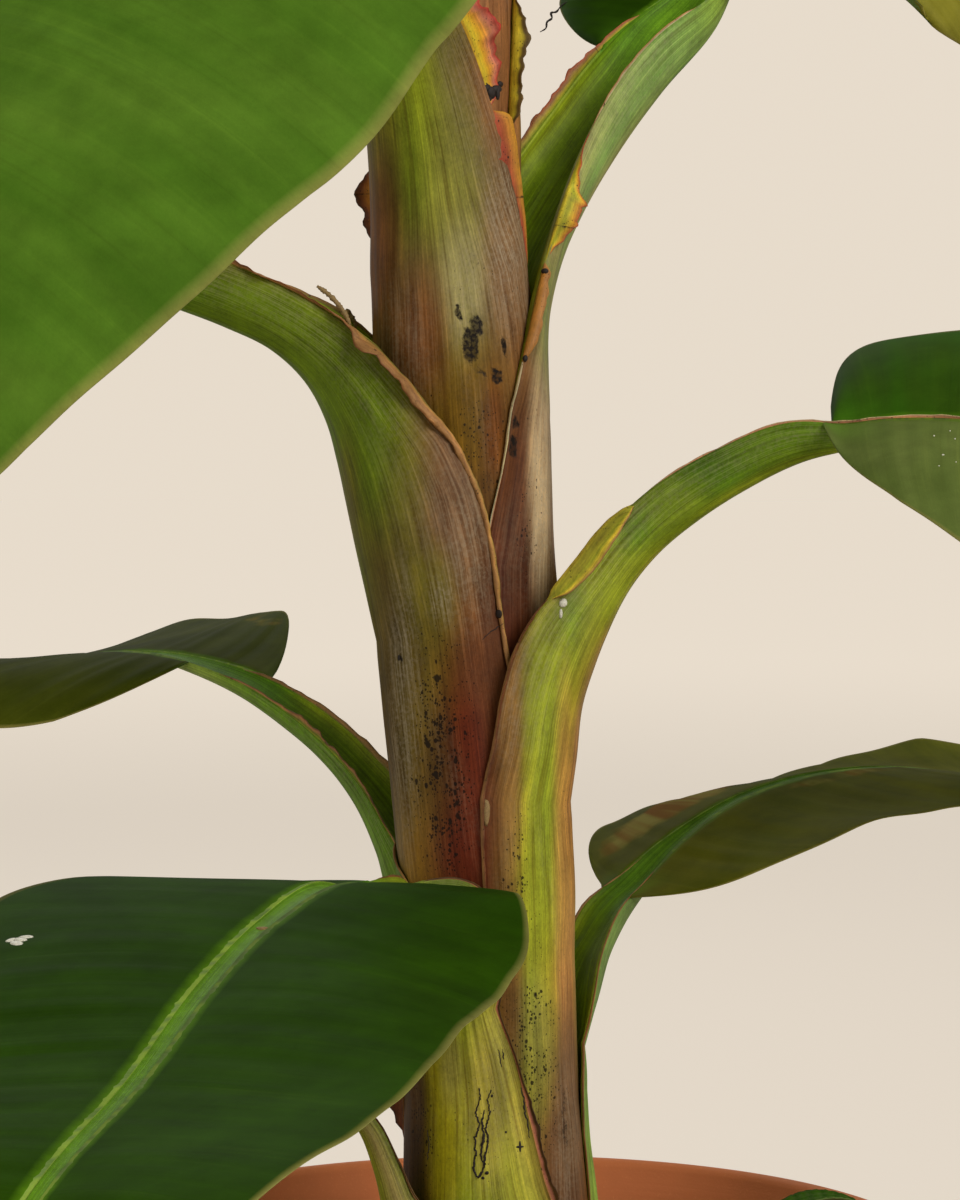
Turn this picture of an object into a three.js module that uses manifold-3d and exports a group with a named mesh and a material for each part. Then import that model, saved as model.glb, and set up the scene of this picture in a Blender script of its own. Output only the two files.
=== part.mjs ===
// Young banana plant in a terracotta-coloured pot, millimetres, +Z up.
// The origin is on the floor, on the pot's own axis. Azimuths are degrees from +X, counter-clockwise seen
// from above; -Y is the side the plant is looked at from.
import * as THREE from 'three';
import { mergeVertices } from 'three/addons/utils/BufferGeometryUtils.js';
import Module from 'manifold-3d';

const wasm = await Module();
wasm.setup();

const DEG = Math.PI / 180;
const GAP = 0.3;
const MERGE = 1e-4;

// Pot and the soil in it.
const POT_HEIGHT = 210;
const POT_RIM_RADIUS = 120;
const POT_FOOT_RADIUS = 84;
const POT_WALL = 6;
const POT_FLOOR = 9;
const POT_EDGE = 3;
const POT_FILLET = 6;
const POT_SEGMENTS = 32;
const DRAIN_RADIUS = 5;
const DRAIN_RING = 42;
const DRAIN_HOLES = 4;
const DRAIN_SEGMENTS = 10;
const SOIL_TOP = 184;
const SOIL_CROWN = 3;
const SOIL_LEVEL_RADIUS = 45;
const SOIL_EDGE_RADIUS = 90;
const SOIL_CLEARANCE = 0.6;
const SOIL_SEGMENTS = 28;

// Stem: its axis leans to -X going up, and its core is what the leaf sheaths wrap.
const STEM_FOOT_Z = SOIL_TOP + SOIL_CROWN + GAP;
const STEM_TOP_Z = 580;
const STEM_LEVELS = [200, 221, 235, 250, 310, 355, 410, 460, 505, 555];
const STEM_SEGMENTS = 16;
const LEAN_FOOT = 180;
const LEAN_START = 215;
const LEAN_END = 495;
const LEAN_LOW = 0.055;
const LEAN_HIGH = 0.012;
const AXIS_AT_START = -2;
const CORE_RADII = [[150, 19], [185, 17], [221, 14.3], [250, 13], [290, 12.8], [333, 14.5], [376, 16.1],
  [446, 16.5], [493, 16], [557, 16.5], [600, 14.5], [700, 10], [900, 5]];

// Sheaths: the share of their thickness at each height, and how they thin towards their margins and tops.
const SHEATH_SHARE = [[180, 0.85], [250, 0.8], [333, 1]];
const MARGIN_SHARE = 0.25;
const MARGIN_START = 0.62;
const MARGIN_FADE = 12;
const SHOULDER_BELOW = 4;
const SHOULDER_ABOVE = 2;

// Petioles: gutter-shaped limbs, thick along the back and thin at the lips.
const LIMB_STATIONS = 8;
const LIMB_STEPS = 6;
const LIMB_BLEND = 30;
const LIMB_THICKNESS = 0.42;
const LIMB_THINNEST = 3;
const LIP_START = 0.45;
const LIP_THINNING = 0.68;

// Blades: thin sheets, thicker along the midrib, their sides swept towards the tip.
const BASE_STATIONS = 7;
const TIP_STATIONS = 5;
const WHOLE_STATIONS = 8;
const BEND_GAP = 0.001;
const BLADE_STEPS = 3;
const BLADE_EDGE = 1.2;
const RIB_BASE = 7;
const RIB_TIP = 1.8;
const RIB_THINNING = 1.6;
const RIB_WIDTH = 0.25;
const RIB_SAMPLES = 120;
const ROUND_BASE = 0.2;
const TILT_AT_RIB = 0.4;
const TIP_START = 0.3;
const TIP_POWER = 1.7;
const NARROWEST = 0.05;
const SWEEP = 0.18;
const SWEEP_GROWTH = 0.35;
const SWEEP_ZERO = 0.25;
const SWEEP_POWER = 1.6;
const CROSS_STEPS = 10;

// Leaves from the youngest to the oldest. az: azimuth. t: sheath thickness. sheath: [height, half-angle
// towards growing azimuth, half-angle towards falling azimuth]. limb: back of the petiole as [distance from
// the stem's axis, height, section radius, half-angle, half-angle]. rib: midrib of the blade as [distance,
// height, sideways]. w: half widths. beta: slopes of each half at the rib and at the margin. start: where
// each half begins, as a share of the rib. bend: share of the rib at which a drooping blade is divided.
// round and tip: each half's own round base and tip power. tilt: [share of the rib, degrees added to the
// slopes of each half]. sweep: each half's own sweep at its base. drift: [distance where the petiole starts
// to bend aside, distance at its end, how far it has moved there].
const LEAVES = [
  {
    name: 'top_front', az: 300, t: 2.6,
    sheath: [[180, 150, 150], [540, 110, 110], [580, 95, 95]],
    limb: [[17.5, 580, 17, 95, 95], [19, 612, 14.5, 90, 90], [24, 642, 12, 90, 90],
      [34, 672, 10, 90, 90], [48, 700, 8.5, 85, 85]],
    rib: [[42, 696, 0], [52, 716, 0], [70, 746, 0], [105, 800, 0], [150, 850, 0], [205, 885, 0],
      [265, 900, 0], [325, 890, 0]],
    w: [82, 82], beta: [28, 5, 28, 5], start: [0, 0], bend: 0.55,
  },
  {
    name: 'top_back', az: 92, t: 2.6,
    sheath: [[180, 150, 150], [500, 125, 125], [530, 112, 112]],
    limb: [[18.6, 530, 18.4, 112, 112], [20.5, 556, 17.5, 108, 108], [25, 585, 14.5, 100, 100],
      [34, 612, 11.5, 95, 95], [50, 640, 10, 90, 90], [70, 663, 9, 85, 85]],
    rib: [[60, 661, 0], [72, 675, 0], [100, 700, 0], [145, 735, 0], [200, 762, 0], [260, 772, 0],
      [320, 760, 0], [375, 725, 0], [415, 670, 0]],
    w: [98, 98], beta: [24, -18, 24, -18], start: [0, 0], bend: 0.55,
  },
  {
    name: 'upper_front', az: 247, t: 3.0,
    sheath: [[180, 150, 150], [440, 130, 125], [465, 124, 122], [480, 113, 122]],
    limb: [[21.4, 480, 21.4, 113, 122], [22.4, 497, 21.5, 86, 120], [25.5, 514, 21, 73, 118],
      [32, 531, 19, 68, 112], [43, 546, 15.5, 72, 105], [58, 558, 12, 80, 98], [78, 566, 10, 88, 92],
      [100, 570, 9, 85, 85]],
    rib: [[91, 575, 0], [104, 578, 0], [130, 582, 0], [165, 578, -3], [200, 560, -9], [235, 528, -18],
      [270, 486, -28], [300, 438, -38], [322, 390, -48], [336, 345, -56]],
    w: [112, 86], beta: [3, -31, 15, -20], start: [0, 0], bend: 0.5, tip: [0.95, 1.7],
    tilt: [[0, 0, 0], [0.3, 0, 0], [0.45, 6, 0], [0.65, 15, 0]],
  },
  {
    name: 'upper_right', az: 40, t: 2.6,
    sheath: [[180, 150, 150], [400, 118, 118], [425, 105, 100], [440, 103, 92]],
    limb: [[24, 440, 24, 103, 92], [24.6, 452, 23.5, 100, 84], [27, 467, 21.5, 98, 75],
      [32.4, 482, 18, 95, 78], [41.4, 497, 15, 104, 92], [55, 514.5, 13, 114, 110],
      [73.5, 534.5, 12.6, 114, 114], [94, 553.5, 12.4, 96, 96]],
    rib: [[70, 542, 0], [92, 568, 0], [112, 587, 0], [140, 606, 0], [180, 626, 0], [230, 638, 0],
      [290, 636, 0], [345, 614, 0], [395, 572, 0], [425, 528, 0]],
    w: [92, 92], beta: [22, -20, 5, -34], start: [0, 0.08], bend: 0.55, round: [0.3, 0.2],
    tilt: [[0, 0, 0], [0.09, 0, -8], [0.14, 0, -62], [0.3, 0, -86], [0.5, 0, -64], [0.75, 0, -10]],
  },
  {
    name: 'middle_left', az: 190, t: 3.2,
    sheath: [[180, 150, 150], [340, 112, 125], [378, 105, 120]],
    limb: [[26, 378, 25.8, 105, 120], [31.2, 400.6, 25.5, 109, 120], [34.6, 416.6, 25, 108, 120],
      [37.2, 428.6, 23.8, 103, 118], [40, 438.8, 21.6, 94, 114], [46, 450.2, 18.2, 90, 110],
      [55.6, 459.2, 15.4, 90, 106], [68, 465.2, 13.2, 100, 104], [82.4, 470.6, 12, 106, 104],
      [110.6, 480, 10.6, 100, 100], [135, 487.6, 9.6, 85, 85]],
    rib: [[125, 494.5, 0], [142, 499.5, 0], [175, 508, 0], [225, 508, 0], [280, 492, 0], [335, 460, 0],
      [385, 412, 0], [415, 365, 0]],
    w: [88, 88], beta: [18, -28, 18, -28], start: [0, 0], bend: 0.52,
  },
  {
    name: 'middle_right', az: 345, t: 3.2,
    sheath: [[180, 150, 150], [250, 110, 84], [310, 105, 74], [333, 105, 71]],
    limb: [[25.9, 333, 25.7, 105, 71], [27.6, 345, 25.5, 104, 70], [29.6, 361, 25, 100, 71],
      [32.7, 370.6, 24, 98, 74], [36, 379, 22, 96, 75], [43.9, 394, 16.5, 96, 76], [51, 402.5, 13, 98, 90],
      [62.5, 412, 10.2, 100, 110], [75, 420, 8.8, 102, 118], [92.8, 428.5, 8, 98, 112],
      [105, 431.5, 7.4, 85, 90]],
    rib: [[98, 437, 0], [116, 440, 0], [141, 439.5, 0], [180, 432, 0], [225, 414, 0], [270, 386, 0],
      [310, 350, 0], [345, 308, 0], [368, 270, 0]],
    w: [68, 70], beta: [34, 15, -22, -42], start: [0, 0], bend: 0.52, round: [0.05, 0.16],
    sweep: [-0.07, 0.18],
  },
  {
    name: 'lower_left', az: 137, t: 2.2,
    sheath: [[180, 150, 150], [265, 115, 115], [288, 100, 100]],
    limb: [[25.4, 288, 24, 100, 100], [28.2, 298, 21, 98, 98], [33, 307, 16.5, 96, 96],
      [39, 316, 12.5, 95, 95], [47.4, 327, 9.5, 95, 90], [56, 335, 8, 95, 92], [66, 342, 7, 95, 105],
      [80, 349.5, 6.4, 95, 110], [97, 357, 6, 90, 100], [119, 363.5, 5.6, 80, 80]],
    rib: [[86, 359, 0], [119, 369, 0], [150, 370, 0], [195, 364, 0], [240, 350, 0], [285, 326, 0],
      [320, 296, 0], [343, 262, 0]],
    w: [62, 54], beta: [-10, -28, 8, 2], start: [0.11, 0], bend: 0.55, round: [0.14, 0.6],
    tilt: [[0, -12, 2], [0.15, -12, 2], [0.23, 2, 0], [0.34, 26, 0], [0.5, 34, -4]],
  },
  {
    name: 'lower_front', az: 252, t: 2.8,
    sheath: [[180, 80, 120], [228, 48, 105], [246, 41, 100], [264, 34, 98], [278, 24, 96]],
    limb: [[25.6, 278, 25.5, 24, 96], [29, 290, 20, 36, 92], [39, 301, 14, 66, 85], [52, 308, 10, 82, 85],
      [66, 311.5, 8, 80, 80], [80, 313, 7, 72, 72]],
    rib: [[71, 316.5, -3], [84, 319.5, -5.5], [105, 321.5, -9.5], [138, 316, -12.5], [180, 305, -12.5],
      [223, 292, -10], [287, 277, -6], [335, 252, -6], [372, 218, -8]],
    w: [69, 76], beta: [-3, -22, 3, -4], start: [0, 0], bend: 0.6, round: [0.22, 0.2], tip: [1.3, 1.7],
    tilt: [[0, 0, 0], [0.12, 2, 0], [0.35, 24, 0], [0.7, 30, 0]], drift: [34, 80, -5],
  },
  {
    name: 'lower_right', az: 35, t: 2.2,
    sheath: [[180, 130, 60], [230, 100, 48], [262, 85, 42]],
    limb: [[26.2, 262, 24.5, 85, 42], [32, 275, 17, 85, 52], [38.5, 287, 12, 88, 70],
      [45, 296, 9.5, 85, 80], [53, 304, 7, 75, 75]],
    rib: [[44.5, 301.5, 0], [53, 310, 0], [63, 317.5, 0], [84.5, 328, 0], [109, 334, 0], [139, 336, 0],
      [177, 332, 0], [220, 320, 0], [258, 299, 0], [288, 270, 0]],
    w: [46, 56], beta: [-8, -10, -12, -10], start: [0, 0], bend: 0.6, round: [0.2, 0.22],
    tilt: [[0, 0, 5], [0.33, -4, 7], [0.42, 6, 12], [0.55, 36, 22], [0.8, 60, 28]],
  },
  {
    name: 'lowest_left', az: 208, t: 1.6,
    sheath: [[180, 90, 90], [196, 70, 75]],
    limb: [[31.5, 196, 28, 60, 65], [34.5, 208, 16, 70, 70], [37.5, 220, 9, 75, 75],
      [41, 233, 6.5, 75, 75], [46.5, 245, 5.5, 75, 75], [56, 253, 5, 70, 70]],
    rib: [[49, 251.5, 0], [60, 258.5, 0], [85, 263, 0], [115, 262, 0], [145, 254, 0], [172, 238, 0]],
    w: [26, 26], beta: [10, -20, 10, -20], start: [0, 0], bend: 0,
  },
];

// Rolled leaf that stands in the crown.
const ROLL_BASE_RADIUS = 13.5;
const ROLL_TIP_RADIUS = 1;
const ROLL_TAPER = 0.75;
const ROLL_TOP_Z = 945;
const ROLL_LEAN = 14;
const ROLL_LEVELS = 8;
const ROLL_SEGMENTS = 12;

// Small side shoot near the rim, with two narrow leaves.
const SHOOT = { x: 66, y: 10, radius: 6.5, height: 30, taper: 0.55, leafShare: 0.62, segments: 12 };
const SHOOT_LEAVES = [
  { name: 'shoot_leaf_right', az: 8, length: 36, width: 9, rise: 41, droop: 26 },
  { name: 'shoot_leaf_left', az: 155, length: 42, width: 8, rise: 27, droop: 24 },
];
const SHOOT_LEAF_STATIONS = 8;
const SHOOT_LEAF_THICKNESS = 1.3;
const SHOOT_LEAF_FOLD = 0.35;

const COLOURS = {
  pot: 0x9b5330,
  soil: 0x3a2a20,
  stem: 0x7a6238,
  limb: 0x6f8a2c,
  blade: 0x2f5a1c,
  roll: 0x8aa04a,
};

function clamp(x, low, high) {
  return Math.min(Math.max(x, low), high);
}

function smooth(a, b, x) {
  const t = clamp((x - a) / (b - a), 0, 1);
  return t * t * (3 - 2 * t);
}

// Value of a table's column at x, on straight lines between its rows.
function lerpTable(table, x, column = 1) {
  if (x <= table[0][0]) return table[0][column];
  for (let i = 1; i < table.length; i++) {
    const [low, high] = [table[i - 1], table[i]];
    if (x <= high[0]) {
      return low[column] + (high[column] - low[column]) * (x - low[0]) / (high[0] - low[0]);
    }
  }
  return table[table.length - 1][column];
}

function axisX(z) {
  const low = clamp(z, LEAN_FOOT, LEAN_END) - LEAN_START;
  const high = clamp(z, LEAN_END, STEM_TOP_Z) - LEAN_END;
  return AXIS_AT_START - LEAN_LOW * low - LEAN_HIGH * high;
}

function sheathTop(leaf) {
  return leaf.sheath[leaf.sheath.length - 1][0];
}

// Share of a sheath's thickness at an angle from its middle.
function sheathProfile(phi, growing, falling) {
  const half = phi >= 0 ? growing : falling;
  const away = Math.abs(phi);
  if (away <= half) return MARGIN_SHARE + (1 - MARGIN_SHARE) * (1 - smooth(MARGIN_START, 1, away / half));
  return MARGIN_SHARE * Math.max(0, 1 - (away - half) / MARGIN_FADE);
}

// Outer radius of the stem at a height and azimuth with the leaves up to and including `last` on it.
function layerRadius(last, z, az, lift = 0) {
  const share = lerpTable(SHEATH_SHARE, z);
  let radius = lerpTable(CORE_RADII, z);
  for (let j = 0; j <= last; j++) {
    const leaf = LEAVES[j];
    const top = sheathTop(leaf) + lift;
    const keep = 1 - smooth(top - SHOULDER_BELOW, top + SHOULDER_ABOVE, z);
    const phi = ((az - leaf.az + 540) % 360) - 180;
    const here = sheathProfile(phi, lerpTable(leaf.sheath, z, 1), lerpTable(leaf.sheath, z, 2));
    radius += leaf.t * share * keep * here;
  }
  return radius;
}

// Smooth curve through rows of numbers, spaced by the length of its first two columns.
function curve(rows, count) {
  const t = [0];
  for (let i = 1; i < rows.length; i++) {
    t.push(t[i - 1] + Math.hypot(rows[i][0] - rows[i - 1][0], rows[i][1] - rows[i - 1][1]));
  }
  const last = rows.length - 1;
  const slopes = rows.map((row, i) => row.map((value, c) => {
    if (i === 0) return (rows[1][c] - value) / t[1];
    if (i === last) return (value - rows[i - 1][c]) / (t[i] - t[i - 1]);
    const before = t[i] - t[i - 1];
    const after = t[i + 1] - t[i];
    const rise = before * before * (rows[i + 1][c] - value) + after * after * (value - rows[i - 1][c]);
    return rise / (before * after * (before + after));
  }));
  const points = [];
  for (let n = 0; n < count; n++) {
    const s = t[last] * n / (count - 1);
    let k = 0;
    while (k < last - 1 && s > t[k + 1]) k += 1;
    const h = t[k + 1] - t[k];
    const u = (s - t[k]) / h;
    const rising = u * u * (3 - 2 * u);
    const leaving = u * (1 - u) ** 2 * h;
    const arriving = u * u * (u - 1) * h;
    const values = rows[k].map((value, c) => value + rising * (rows[k + 1][c] - value)
      + leaving * slopes[k][c] + arriving * slopes[k + 1][c]);
    points.push({ s, values });
  }
  return points;
}

// Directions of a leaf: outwards, sideways and up, and the stem's axis where its sheath ends.
function frameOf(leaf) {
  const a = leaf.az * DEG;
  return {
    out: new THREE.Vector3(Math.cos(a), Math.sin(a), 0),
    side: new THREE.Vector3(-Math.sin(a), Math.cos(a), 0),
    up: new THREE.Vector3(0, 0, 1),
    offset: new THREE.Vector3(axisX(sheathTop(leaf)), 0, 0),
  };
}

function dropFlat(index) {
  const kept = [];
  for (let i = 0; i < index.length; i += 3) {
    const [a, b, c] = [index[i], index[i + 1], index[i + 2]];
    if (a !== b && b !== c && a !== c) kept.push(a, b, c);
  }
  return new Uint32Array(kept);
}

function turnedRound(triangles) {
  const turned = triangles.slice();
  for (let i = 0; i < triangles.length; i += 3) {
    turned[i] = triangles[i + 1];
    turned[i + 1] = triangles[i];
  }
  return turned;
}

// Solid of a closed set of triangles, turned inside out if they face inwards.
function toManifold(positions, index) {
  let geometry = new THREE.BufferGeometry();
  geometry.setAttribute('position', new THREE.Float32BufferAttribute(positions, 3));
  geometry.setIndex(index);
  geometry = mergeVertices(geometry, MERGE);
  const vertProperties = new Float32Array(geometry.attributes.position.array);
  const triVerts = dropFlat(geometry.index.array);
  const solid = (triangles) => {
    const mesh = new wasm.Mesh({ numProp: 3, vertProperties, triVerts: triangles });
    mesh.merge();
    return new wasm.Manifold(mesh);
  };
  const body = solid(triVerts);
  return body.volume() < 0 ? solid(turnedRound(triVerts)) : body;
}

// Corners and triangles of a solid's largest connected shell.
function largestShell(body) {
  const data = body.getMesh();
  const parent = [...Array(data.numVert).keys()];
  const root = (v) => {
    while (parent[v] !== v) v = parent[v];
    return v;
  };
  const tri = data.triVerts;
  for (let i = 0; i < tri.length; i += 3) {
    parent[root(tri[i + 1])] = root(tri[i]);
    parent[root(tri[i + 2])] = root(tri[i]);
  }
  const { numProp, vertProperties } = data;
  const corner = (v) => new THREE.Vector3(...vertProperties.slice(numProp * v, numProp * v + 3));
  const volumes = new Map();
  for (let i = 0; i < tri.length; i += 3) {
    const part = corner(tri[i]).dot(corner(tri[i + 1]).cross(corner(tri[i + 2]))) / 6;
    const shell = root(tri[i]);
    volumes.set(shell, (volumes.get(shell) ?? 0) + part);
  }
  const best = [...volumes].reduce((a, b) => (b[1] > a[1] ? b : a))[0];
  const place = new Map();
  const positions = [];
  const index = [];
  for (const v of tri) {
    if (root(v) !== best) continue;
    if (!place.has(v)) {
      place.set(v, positions.length / 3);
      positions.push(...corner(v).toArray());
    }
    index.push(place.get(v));
  }
  return { positions, index };
}

function meshOf(name, body, colour, roughness) {
  const { positions, index } = largestShell(body);
  const geometry = new THREE.BufferGeometry();
  geometry.setAttribute('position', new THREE.Float32BufferAttribute(positions, 3));
  geometry.setIndex(index);
  geometry.computeVertexNormals();
  const material = new THREE.MeshStandardMaterial({ color: colour, roughness, metalness: 0 });
  const mesh = new THREE.Mesh(geometry, material);
  mesh.name = name;
  return mesh;
}

// Closed solid between two grids of points that have the same rows and columns.
function solidFromGrids(outer, inner) {
  const rows = outer.length;
  const cols = outer[0].length;
  const positions = [...outer, ...inner].flat().flatMap((p) => p.toArray());
  const o = (i, j) => i * cols + j;
  const n = (i, j) => (rows + i) * cols + j;
  const index = [];
  const quad = (a, b, c, d) => index.push(a, b, c, a, c, d);
  for (let i = 0; i < rows - 1; i++) {
    for (let j = 0; j < cols - 1; j++) {
      quad(o(i, j), o(i, j + 1), o(i + 1, j + 1), o(i + 1, j));
      quad(n(i, j), n(i + 1, j), n(i + 1, j + 1), n(i, j + 1));
    }
    quad(o(i, 0), o(i + 1, 0), n(i + 1, 0), n(i, 0));
    quad(o(i, cols - 1), n(i, cols - 1), n(i + 1, cols - 1), o(i + 1, cols - 1));
  }
  for (let j = 0; j < cols - 1; j++) {
    quad(o(0, j), n(0, j), n(0, j + 1), o(0, j + 1));
    quad(o(rows - 1, j), o(rows - 1, j + 1), n(rows - 1, j + 1), n(rows - 1, j));
  }
  return toManifold(positions, index);
}

// Closed solid through rings of points, each with as many, and the two points that close its ends.
function solidFromRings(rings, foot, tip) {
  const count = rings[0].length;
  const positions = [...rings.flat(), foot, tip].flatMap((p) => p.toArray());
  const low = rings.length * count;
  const last = low - count;
  const index = [];
  for (let i = 0; i < count; i++) {
    const j = (i + 1) % count;
    for (let row = 0; row < last; row += count) {
      index.push(row + i, row + j, row + j + count, row + i, row + j + count, row + i + count);
    }
    index.push(low, j, i, low + 1, last + i, last + j);
  }
  return toManifold(positions, index);
}

// Stem: all the wrapped sheaths up to the crown, with a shoulder where each leaf leaves it.
function stemSolid(grow) {
  const shoulders = LEAVES.map(sheathTop).filter((top) => top < STEM_TOP_Z)
    .flatMap((top) => [top - SHOULDER_BELOW + grow, top + SHOULDER_ABOVE + grow]);
  const heights = [STEM_FOOT_Z, ...STEM_LEVELS, ...shoulders, STEM_TOP_Z].sort((a, b) => a - b);
  const [low, high] = [STEM_FOOT_Z - grow, STEM_TOP_Z + grow];
  const rings = heights.map((z) => {
    const level = z === STEM_FOOT_Z ? low : z === STEM_TOP_Z ? high : z;
    const ring = [];
    for (let i = 0; i < STEM_SEGMENTS; i++) {
      const az = 360 * i / STEM_SEGMENTS;
      const below = Math.min(z, STEM_TOP_Z - SHOULDER_BELOW - 1);
      const r = layerRadius(LEAVES.length - 1, below, az, grow) + grow;
      ring.push(new THREE.Vector3(axisX(z) + r * Math.cos(az * DEG), r * Math.sin(az * DEG), level));
    }
    return ring;
  });
  const foot = new THREE.Vector3(axisX(STEM_FOOT_Z), 0, low);
  const tip = new THREE.Vector3(axisX(STEM_TOP_Z), 0, high);
  return solidFromRings(rings, foot, tip);
}

// Petiole: a gutter-shaped limb that starts as the sheath round the stem and narrows outwards.
function limbSolid(leaf, order, grow) {
  const { out, side, up, offset } = frameOf(leaf);
  const rows = curve(leaf.limb, LIMB_STATIONS);
  const outer = [];
  const inner = [];
  rows.forEach(({ s, values }, k) => {
    const [distance, height, radius, growing, falling] = values;
    const before = rows[Math.max(k - 1, 0)].values;
    const after = rows[Math.min(k + 1, rows.length - 1)].values;
    const length = Math.hypot(after[0] - before[0], after[1] - before[1]);
    const dr = (after[0] - before[0]) / length;
    const dz = (after[1] - before[1]) / length;
    const along = out.clone().multiplyScalar(dr).addScaledVector(up, dz);
    const normal = out.clone().multiplyScalar(-dz).addScaledVector(up, dr);
    const wrap = 1 - smooth(0, LIMB_BLEND, s);
    const onStem = sheathTop(leaf) - SHOULDER_BELOW - 1;
    const radiusAt = (phi) => wrap * layerRadius(order, onStem, leaf.az + phi) + (1 - wrap) * radius;
    const thickness = wrap * leaf.t + (1 - wrap) * Math.max(LIMB_THICKNESS * radius, LIMB_THINNEST);
    const ends = k === 0 ? -grow : k === rows.length - 1 ? grow : 0;
    const [begin, end, aside] = leaf.drift ?? [0, 1, 0];
    const drift = aside * Math.max((distance - begin) / (end - begin), 0) ** 2;
    const centre = out.clone().multiplyScalar(distance).addScaledVector(up, height)
      .addScaledVector(side, drift).addScaledVector(normal, radiusAt(0))
      .addScaledVector(along, ends).add(offset);
    const outerRow = [];
    const innerRow = [];
    for (let j = 0; j <= LIMB_STEPS; j++) {
      const u = -1 + 2 * j / LIMB_STEPS;
      const phi = u * (u >= 0 ? growing : falling);
      const lip = grow * (j === 0 ? -1 : j === LIMB_STEPS ? 1 : 0) / radius;
      const a = phi * DEG + lip;
      const thick = thickness * (1 - LIP_THINNING * smooth(LIP_START, 1, Math.abs(u)));
      const place = (r) => centre.clone().addScaledVector(normal, -Math.cos(a) * r)
        .addScaledVector(side, Math.sin(a) * r);
      outerRow.push(place(radiusAt(phi) + grow));
      innerRow.push(place(radiusAt(phi) - thick - grow));
    }
    outer.push(outerRow);
    inner.push(innerRow);
  });
  return solidFromGrids(outer, inner);
}

// Share of a blade's half width along its rib: a round base and a blunt point.
function outline(s, roundBase, tipPower) {
  const base = Math.sqrt(1 - (1 - Math.min(s / roundBase, 1)) ** 2);
  const tip = Math.cos(0.5 * Math.PI * clamp((s - TIP_START) / (1 - TIP_START), 0, 1) ** tipPower);
  return Math.max(base * tip, NARROWEST);
}

// Place across a half blade of unit width, sideways and upwards, and its slope there.
function crossPlace(q, slopeIn, slopeOut, tilt) {
  const slopeAt = (at) => {
    const turned = tilt * (TILT_AT_RIB + (1 - TILT_AT_RIB) * at);
    return (slopeIn + (slopeOut - slopeIn) * at + turned) * DEG;
  };
  let sideways = 0;
  let upwards = 0;
  for (let m = 0; m < CROSS_STEPS; m++) {
    const slope = slopeAt(q * (m + 0.5) / CROSS_STEPS);
    sideways += Math.cos(slope) * q / CROSS_STEPS;
    upwards += Math.sin(slope) * q / CROSS_STEPS;
  }
  return { sideways, upwards, slope: q > 0 ? slopeAt(q) : 0 };
}

// Blade: a thin closed sheet of the leaf's outline, between two shares of its rib.
function bladeSolid(leaf, from, to, stations) {
  const frame = frameOf(leaf);
  const rib = curve(leaf.rib, RIB_SAMPLES + 1).map(({ values: [distance, height, sideways] }) => {
    const place = frame.offset.clone().addScaledVector(frame.out, distance);
    return place.addScaledVector(frame.up, height).addScaledVector(frame.side, sideways);
  });
  const upper = [];
  const lower = [];
  for (let n = 0; n < stations; n++) {
    const st = from + (to - from) * n / (stations - 1);
    const k = Math.min(Math.floor(st * RIB_SAMPLES), RIB_SAMPLES - 1);
    const middle = rib[k].clone().lerp(rib[k + 1], st * RIB_SAMPLES - k);
    const along = rib[Math.min(k + 2, RIB_SAMPLES)].clone().sub(rib[Math.max(k - 1, 0)]).normalize();
    const side = frame.side.clone().addScaledVector(along, -frame.side.dot(along)).normalize();
    const normal = along.clone().cross(side);
    if (normal.z < 0) normal.negate();
    const ribThickness = RIB_BASE + (RIB_TIP - RIB_BASE) * Math.min(st * RIB_THINNING, 1);
    const upperRow = [];
    const lowerRow = [];
    for (let j = -BLADE_STEPS; j <= BLADE_STEPS; j++) {
      const half = j >= 0 ? 0 : 1;
      const q = Math.abs(j) / BLADE_STEPS;
      const begin = leaf.start[half];
      const roundBase = leaf.round?.[half] ?? ROUND_BASE;
      const tipPower = leaf.tip?.[half] ?? TIP_POWER;
      const width = leaf.w[half] * outline(Math.max(st - begin, 0) / (1 - begin), roundBase, tipPower);
      const tilt = leaf.tilt ? lerpTable(leaf.tilt, st, half + 1) : 0;
      const [slopeIn, slopeOut] = leaf.beta.slice(2 * half);
      const { sideways, upwards, slope } = crossPlace(q, slopeIn, slopeOut, tilt);
      const baseSweep = leaf.sweep?.[half] ?? SWEEP;
      const swept = baseSweep + (SWEEP - baseSweep) * smooth(0, SWEEP_ZERO, st);
      const forwards = (swept + SWEEP_GROWTH * (st - SWEEP_ZERO)) * q ** SWEEP_POWER;
      const p = middle.clone().addScaledVector(side, Math.sign(j) * width * sideways)
        .addScaledVector(normal, width * upwards).addScaledVector(along, width * forwards);
      const thick = BLADE_EDGE + (ribThickness - BLADE_EDGE) * (1 - smooth(0, RIB_WIDTH, q));
      const square = normal.clone().multiplyScalar(Math.cos(slope))
        .addScaledVector(side, -Math.sign(j) * Math.sin(slope));
      upperRow.push(p);
      lowerRow.push(p.clone().addScaledVector(square, -thick));
    }
    upper.push(upperRow);
    lower.push(lowerRow);
  }
  return solidFromGrids(upper, lower);
}

function bareSolid(geometry) {
  geometry.deleteAttribute('normal');
  geometry.deleteAttribute('uv');
  return toManifold([...geometry.attributes.position.array], [...geometry.index.array]);
}

function lathe(points, segments) {
  const profile = points.map(([r, z]) => new THREE.Vector2(r, z));
  return bareSolid(new THREE.LatheGeometry(profile, segments).rotateX(Math.PI / 2));
}

// Upright round post, tapering from its foot to its top.
function post(footRadius, topRadius, low, high, [x, y], segments) {
  const geometry = new THREE.CylinderGeometry(topRadius, footRadius, high - low, segments);
  return bareSolid(geometry.rotateX(Math.PI / 2).translate(x, y, (low + high) / 2));
}

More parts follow.
